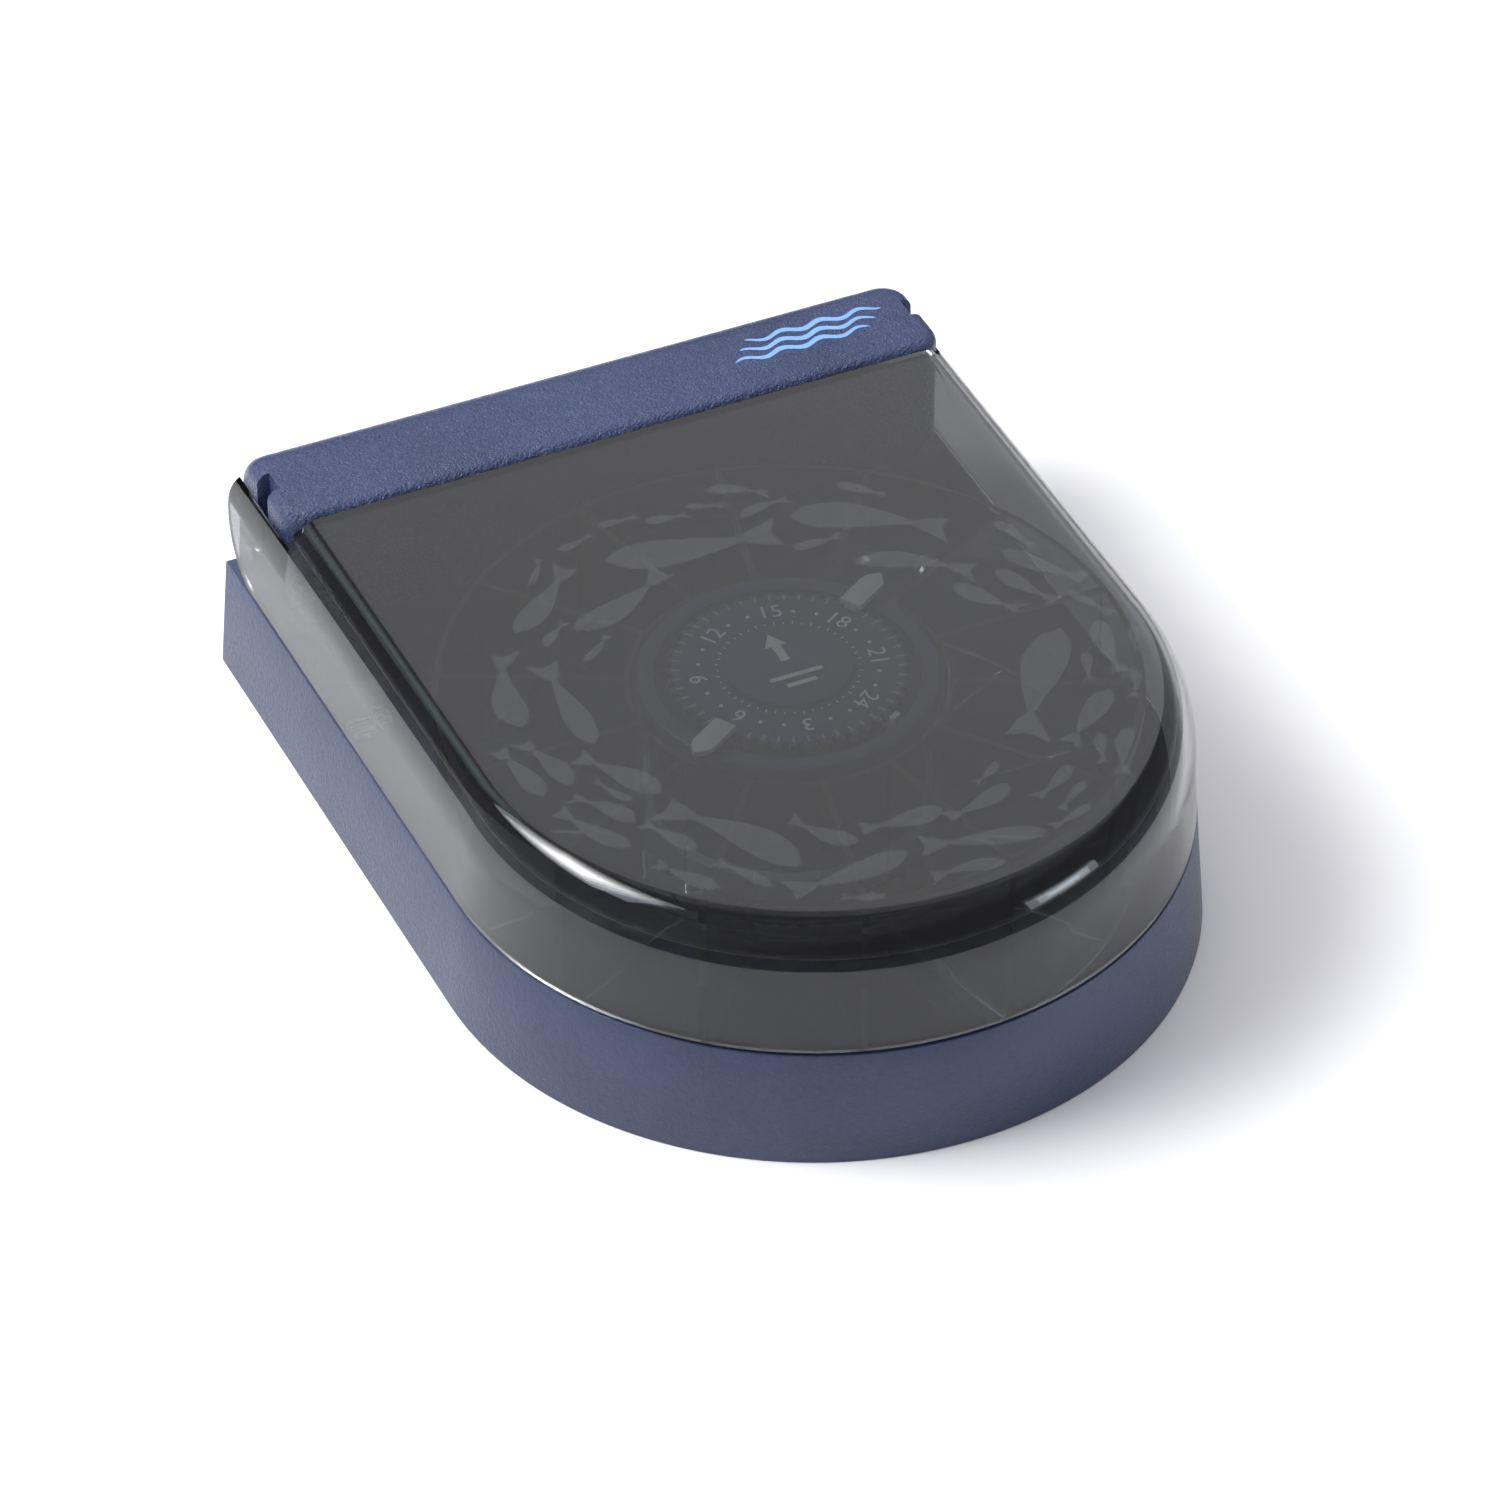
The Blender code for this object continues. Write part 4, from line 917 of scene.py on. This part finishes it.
def make_tray():
    """A drum with its compartments cut right through, so that walls of one thickness stay."""
    low, high, edge = TRAY_LOW.z, TRAY_HIGH.z, 0.3 * MM
    pitch = TAU / COMPARTMENTS
    tray = turned("tray_shell", [
        (TRAY_RADIUS, low), (TRAY_RADIUS, high - edge), (TRAY_RADIUS - edge, high),
        (TRAY_HUB + edge, high), (TRAY_HUB, high - edge), (TRAY_HUB, low),
    ], CLEAR, steps=COMPARTMENTS * 8)
    inner, outer = TRAY_HUB + TRAY_WALL, TRAY_RADIUS - TRAY_WALL
    inner_half = pitch / 2 - math.asin(TRAY_WALL / 2 / inner)
    outer_half = pitch / 2 - math.asin(TRAY_WALL / 2 / outer)
    pocket = arc(outer, FRONT - outer_half, FRONT + outer_half, 8)
    pocket += arc(inner, FRONT + inner_half, FRONT - inner_half, 5)
    carve(tray, cut(*(
        prism(f"pocket_{i}", pocket, low - THROUGH, high + THROUGH, place=about_axis(pitch * i))
        for i in range(COMPARTMENTS)
    )))
    finished(tray, "tray", ["feed_tray"])


# ------------------------------------------------------------------ dial

DIAL_UNDER = 39.6 * MM
ARROW_HOUR = 14.14
NOTCHES = 48
NOTCH_PITCH = TAU / NOTCHES
PRINT_PLACE = DIAL_TOP - 0.01 * MM  # a print starts just under the surface
HOUR_RADIUS = 14.6 * MM


def text_mesh(name, words, size, thickness, place):
    """Upright text, made a mesh, then put in its place."""
    curve = bpy.data.curves.new(name, "FONT")
    curve.body = words
    curve.size = size
    curve.align_x = "CENTER"
    curve.align_y = "CENTER"
    curve.extrude = thickness
    curve.resolution_u = 3
    source = bpy.data.objects.new(name, curve)
    bpy.context.scene.collection.objects.link(source)
    bpy.context.view_layer.update()
    mesh = bpy.data.meshes.new_from_object(source.evaluated_get(bpy.context.evaluated_depsgraph_get()))
    bpy.data.objects.remove(source, do_unlink=True)
    mesh.transform(place)
    made = bpy.data.objects.new(name, mesh)
    bpy.context.scene.collection.objects.link(made)
    return made


def hour_angle(hour):
    """Where an hour stands on the dial at rest: the arrow, at the back, points at the time now."""
    return QUARTER - (hour - ARROW_HOUR) / 24 * TAU


def stroke(name, length, width, thickness, place):
    """A short printed line that starts at its place and runs outwards."""
    outline = [(0.0, -width / 2), (length, -width / 2), (length, width / 2), (0.0, width / 2)]
    return prism(name, outline, 0.0, thickness, place=place)


def dial_rim():
    """The dial's plan: a land and a shallow round notch, over and over."""
    land_and_notch = (
        (-0.26, 0.0), (-0.10, 0.0), (0.10, 0.0), (0.26, 0.0), (0.31, 0.9), (0.5, 0.95), (0.69, 0.9),
    )
    rim = []
    for i in range(NOTCHES):
        for share, depth in land_and_notch:
            angle, radius = NOTCH_PITCH * (i + share), DIAL_RADIUS - depth * MM
            rim.append((radius * math.cos(angle), radius * math.sin(angle)))
    return rim


def make_dial():
    """A notched disc on a hub, with a groove under each tab."""
    dial = prism("dial_plate", dial_rim(), DIAL_UNDER, DIAL_TOP, DIAL_BLUE, about_axis(0.0), edge=0.15 * MM)
    steps = joined(pillar("hub", 5.2 * MM, 0, AXIS_Y, DIAL_LOW.z, DIAL_UNDER + 0.5 * MM))
    steps += cut(pillar("bore", 3.6 * MM, 0, AXIS_Y, 30.0 * MM, 45.0 * MM))
    half_groove = 1.6 * MM
    for angle in TAB_ANGLES:
        groove = box(
            "groove", (17.9 * MM, -half_groove, DIAL_TOP - 0.9 * MM),
            (DIAL_RADIUS + 2.0 * MM, half_groove, DIAL_TOP + THROUGH),
        )
        groove.data.transform(about_axis(angle))
        steps += cut(groove)
    carve(dial, steps)
    finished(dial, "dial", ["dial"])


def make_dial_print():
    """White numbers every third hour, dots at the others, and a mark for each half hour."""
    upright = Matrix.Rotation(-QUARTER, 4, "Z")
    thickness = 0.05 * MM
    prints = []
    for hour in range(3, 25, 3):
        place = about_axis(hour_angle(hour), HOUR_RADIUS, DIAL_TOP + 0.01 * MM) @ upright
        prints.append(text_mesh(f"hour_{hour}", str(hour), 4.3 * MM, 0.03 * MM, place))
    for step in range(48):
        length = 0.7 * MM if step % 2 == 0 else 0.4 * MM
        place = about_axis(hour_angle(step / 2), 11.3 * MM, PRINT_PLACE)
        prints.append(stroke(f"mark_{step}", length, 0.2 * MM, thickness, place))
    dot = arc(0.36 * MM, 0.0, TAU * 15 / 16, 15)
    for hour in range(1, 25):
        if hour % 3:
            place = about_axis(hour_angle(hour), HOUR_RADIUS, PRINT_PLACE)
            prints.append(prism(f"dot_{hour}", dot, 0.0, thickness, place=place))
    finished(merged("dial_print", prints, WHITE_INK), "dial")


def make_rim_ticks():
    """A grey tick at every notch, apart from where the tabs lie."""
    ticks = []
    for i in range(NOTCHES):
        angle = NOTCH_PITCH * i
        if min(abs(math.remainder(angle - tab_angle, TAU)) for tab_angle in TAB_ANGLES) > 0.12:
            place = about_axis(angle, 17.6 * MM, PRINT_PLACE)
            ticks.append(stroke(f"rim_tick_{i}", 1.3 * MM, 0.44 * MM, 0.04 * MM, place))
    finished(merged("dial_rim_ticks", ticks, GREY_INK), "dial")


def make_arrow_disc():
    """The still disc in the dial's middle, with its printed arrow and two plain lines."""
    top, under = DISC_HIGH.z, DIAL_TOP + 0.2 * MM
    radius, stem, edge = DISC_HIGH.x, 2.6 * MM, 0.3 * MM
    disc = turned("centre_disc", [
        (0.0, DISC_LOW.z), (stem, DISC_LOW.z), (stem, under), (radius, under), (radius, top - edge),
        (radius - edge * 0.3, top - edge * 0.3), (radius - edge, top), (0.0, top),
    ], DIAL_BLUE, closed=False)
    finished(disc, "housing", ["arrow_disc"])
    shaft, head, tail_y, neck_y, tip_y = 0.75, 1.9, -3.6, 0.4, 3.6
    arrow = [
        (-shaft, tail_y), (shaft, tail_y), (shaft, neck_y), (head, neck_y), (0.0, tip_y), (-head, neck_y),
        (-shaft, neck_y),
    ]
    print_z, thickness = top - 0.01 * MM, 0.05 * MM
    place = Matrix.Translation(AXIS + Vector((0.0, 4.6 * MM, print_z)))
    points = [(x * MM, y * MM) for x, y in arrow]
    finished(prism("time_arrow", points, 0.0, thickness, WHITE_INK, place), "housing")
    lines = []
    for below, half in ((2.9, 4.6), (5.1, 2.6)):
        low = AXIS + Vector((-half * MM, (-below - 0.45) * MM, print_z))
        lines.append(box("plain_line", low, low + Vector((2 * half, 0.9, 0.05)) * MM))
    finished(merged("plain_lines", lines, WHITE_INK), "housing")


def make_collar():
    """The dish that the dial turns in: a plate with a hole, and a rounded rim."""
    radius, inner, bore = COLLAR_HIGH.x, 21.6 * MM, 5.6 * MM
    low, plate_top, top = COLLAR_LOW.z, 37.7 * MM, COLLAR_HIGH.z
    outer_edge, inner_edge = 0.6 * MM, 0.3 * MM
    outer_round = arc(outer_edge, 0.0, QUARTER, 5, (radius - outer_edge, top - outer_edge))
    inner_round = arc(inner_edge, QUARTER, math.pi, 3, (inner + inner_edge, top - inner_edge))
    collar = turned("clock_collar", [
        (bore, low), (radius, low), *outer_round, *inner_round, (inner, plate_top), (bore, plate_top),
    ], BLUE_INNER)
    finished(collar, "housing", ["collar_ring"])


def make_tabs():
    """Flat pointed tabs, each with a peg at its inner end that hangs into its groove."""
    half, thickness, bottom = 2.0 * MM, 1.1 * MM, DIAL_TOP + PLAY
    inner, outer = 18.3 * MM, 27.6 * MM
    point = [
        (outer - back * MM, half * share) for back, share in ((2.6, 1.0), (1.6, 0.78), (0.7, 0.42))
    ]
    outline = [(inner, -half)] + [(x, -y) for x, y in point] + [(outer, 0.0)] + point[::-1] + [(inner, half)]
    for number, angle in enumerate(TAB_ANGLES, 1):
        place = about_axis(angle)
        tab = prism(f"tab_{number}_body", outline, bottom, bottom + thickness, GREY, place, edge=0.2 * MM)
        peg = box(
            f"peg_{number}", (inner, -1.2 * MM, COLLAR_HIGH.z + PLAY),
            (inner + 1.1 * MM, 1.2 * MM, bottom + 0.4 * MM),
        )
        peg.data.transform(place)
        carve(tab, joined(peg))
        finished(tab, f"tab_{number}", [f"tripper_tab_{number}"])


# ------------------------------------------------------------------ ring of fishes on the lid

def fish_outline(length, bend, plumpness):
    """A plain fish: one smooth body that tapers to its tail root, and a forked tail."""
    steps, tail_root = 14, 0.025
    upper = []
    for i in range(steps + 1):
        share = i / steps
        belly = math.sin(math.pi * share ** 0.75) ** 0.9 * (1 - 0.35 * share)
        upper.append((share, plumpness * belly + tail_root))
    upper += [(1.10, 0.09), (1.30, 0.17)]
    nose, fork = (-0.02, 0.0), (1.24, 0.0)
    lower = [(x, -y) for x, y in reversed(upper)]
    return [
        (length * (x - 0.6), length * (y + bend * (x - 0.4) ** 2))
        for x, y in [nose] + upper + [fork] + lower
    ]


def make_fish_ring():
    """Fishes of many sizes swimming round the lid's top, none over another."""
    chooser = random.Random(14)
    frost = frosted_print()
    ring_edge = 55.5 * MM
    taken, fishes = [], []
    for usual_length, tries in ((19.0, 40), (13.0, 120), (9.0, 300), (6.0, 500)):
        for _ in range(tries):
            length = usual_length * chooser.uniform(0.8, 1.2) * MM
            place = (
                Matrix.Translation((0.0, ARC_Y, TOP_Z - 0.005 * MM))
                @ Matrix.Rotation(chooser.uniform(0.0, TAU), 4, "Z")
                @ Matrix.Translation((chooser.uniform(35.0, 53.5) * MM, 0.0, 0.0))
                @ Matrix.Rotation(-QUARTER + chooser.uniform(-0.45, 0.45), 4, "Z")
            )
            outline = fish_outline(length, chooser.uniform(-0.3, 0.3), chooser.uniform(0.12, 0.2))
            spots = [place @ Vector((share * length, 0.0, 0.0)) for share in (-0.45, -0.15, 0.15, 0.55)]
            room = 0.21 * length
            inside = all((spot.xy - Vector((0.0, ARC_Y))).length + room < ring_edge for spot in spots)
            if inside and all((spot - other).length > room + size for spot in spots for other, size in taken):
                taken += [(spot, room) for spot in spots]
                fishes.append(prism(f"fish_{len(fishes)}", outline, 0.0, 0.03 * MM, place=place))
    finished(merged("lid_fishes", fishes, frost), "lid")


# ------------------------------------------------------------------ pieces kept from the frame

def dress_kept_pieces():
    finishes = {
        "feed_deck": BLUE_INNER, "movement_can": BLUE_INNER, "battery": cell_sleeve(),
        "circuit_board": board_green(), "clock_movement": GREY, "trip_lever": GREY,
        "tray_gear_ring": ACETAL, "drive_pinion": ACETAL, "idler_gear": ACETAL, "tray_bush": ACETAL,
        "motor_pinion": STEEL, "tray_motor": STEEL, "contact_spring": STEEL,
        "contact_plate_positive": STEEL, "contact_plate_negative": STEEL,
        "wire_positive": RED_LEAD, "wire_negative": BLACK_LEAD,
        **dict.fromkeys(DECK_SCREWS + HOUSING_SCREWS, STEEL),
    }
    for node, material in finishes.items():
        for slot in frame["nodes"][node].material_slots:
            slot.material = material


make_camera()
make_studio()
make_base()
make_battery_door()
make_bar()
make_emblem()
make_tray()
make_dial()
make_dial_print()
make_rim_ticks()
make_arrow_disc()
make_collar()
make_tabs()
make_lid()
make_fish_ring()
dress_kept_pieces()
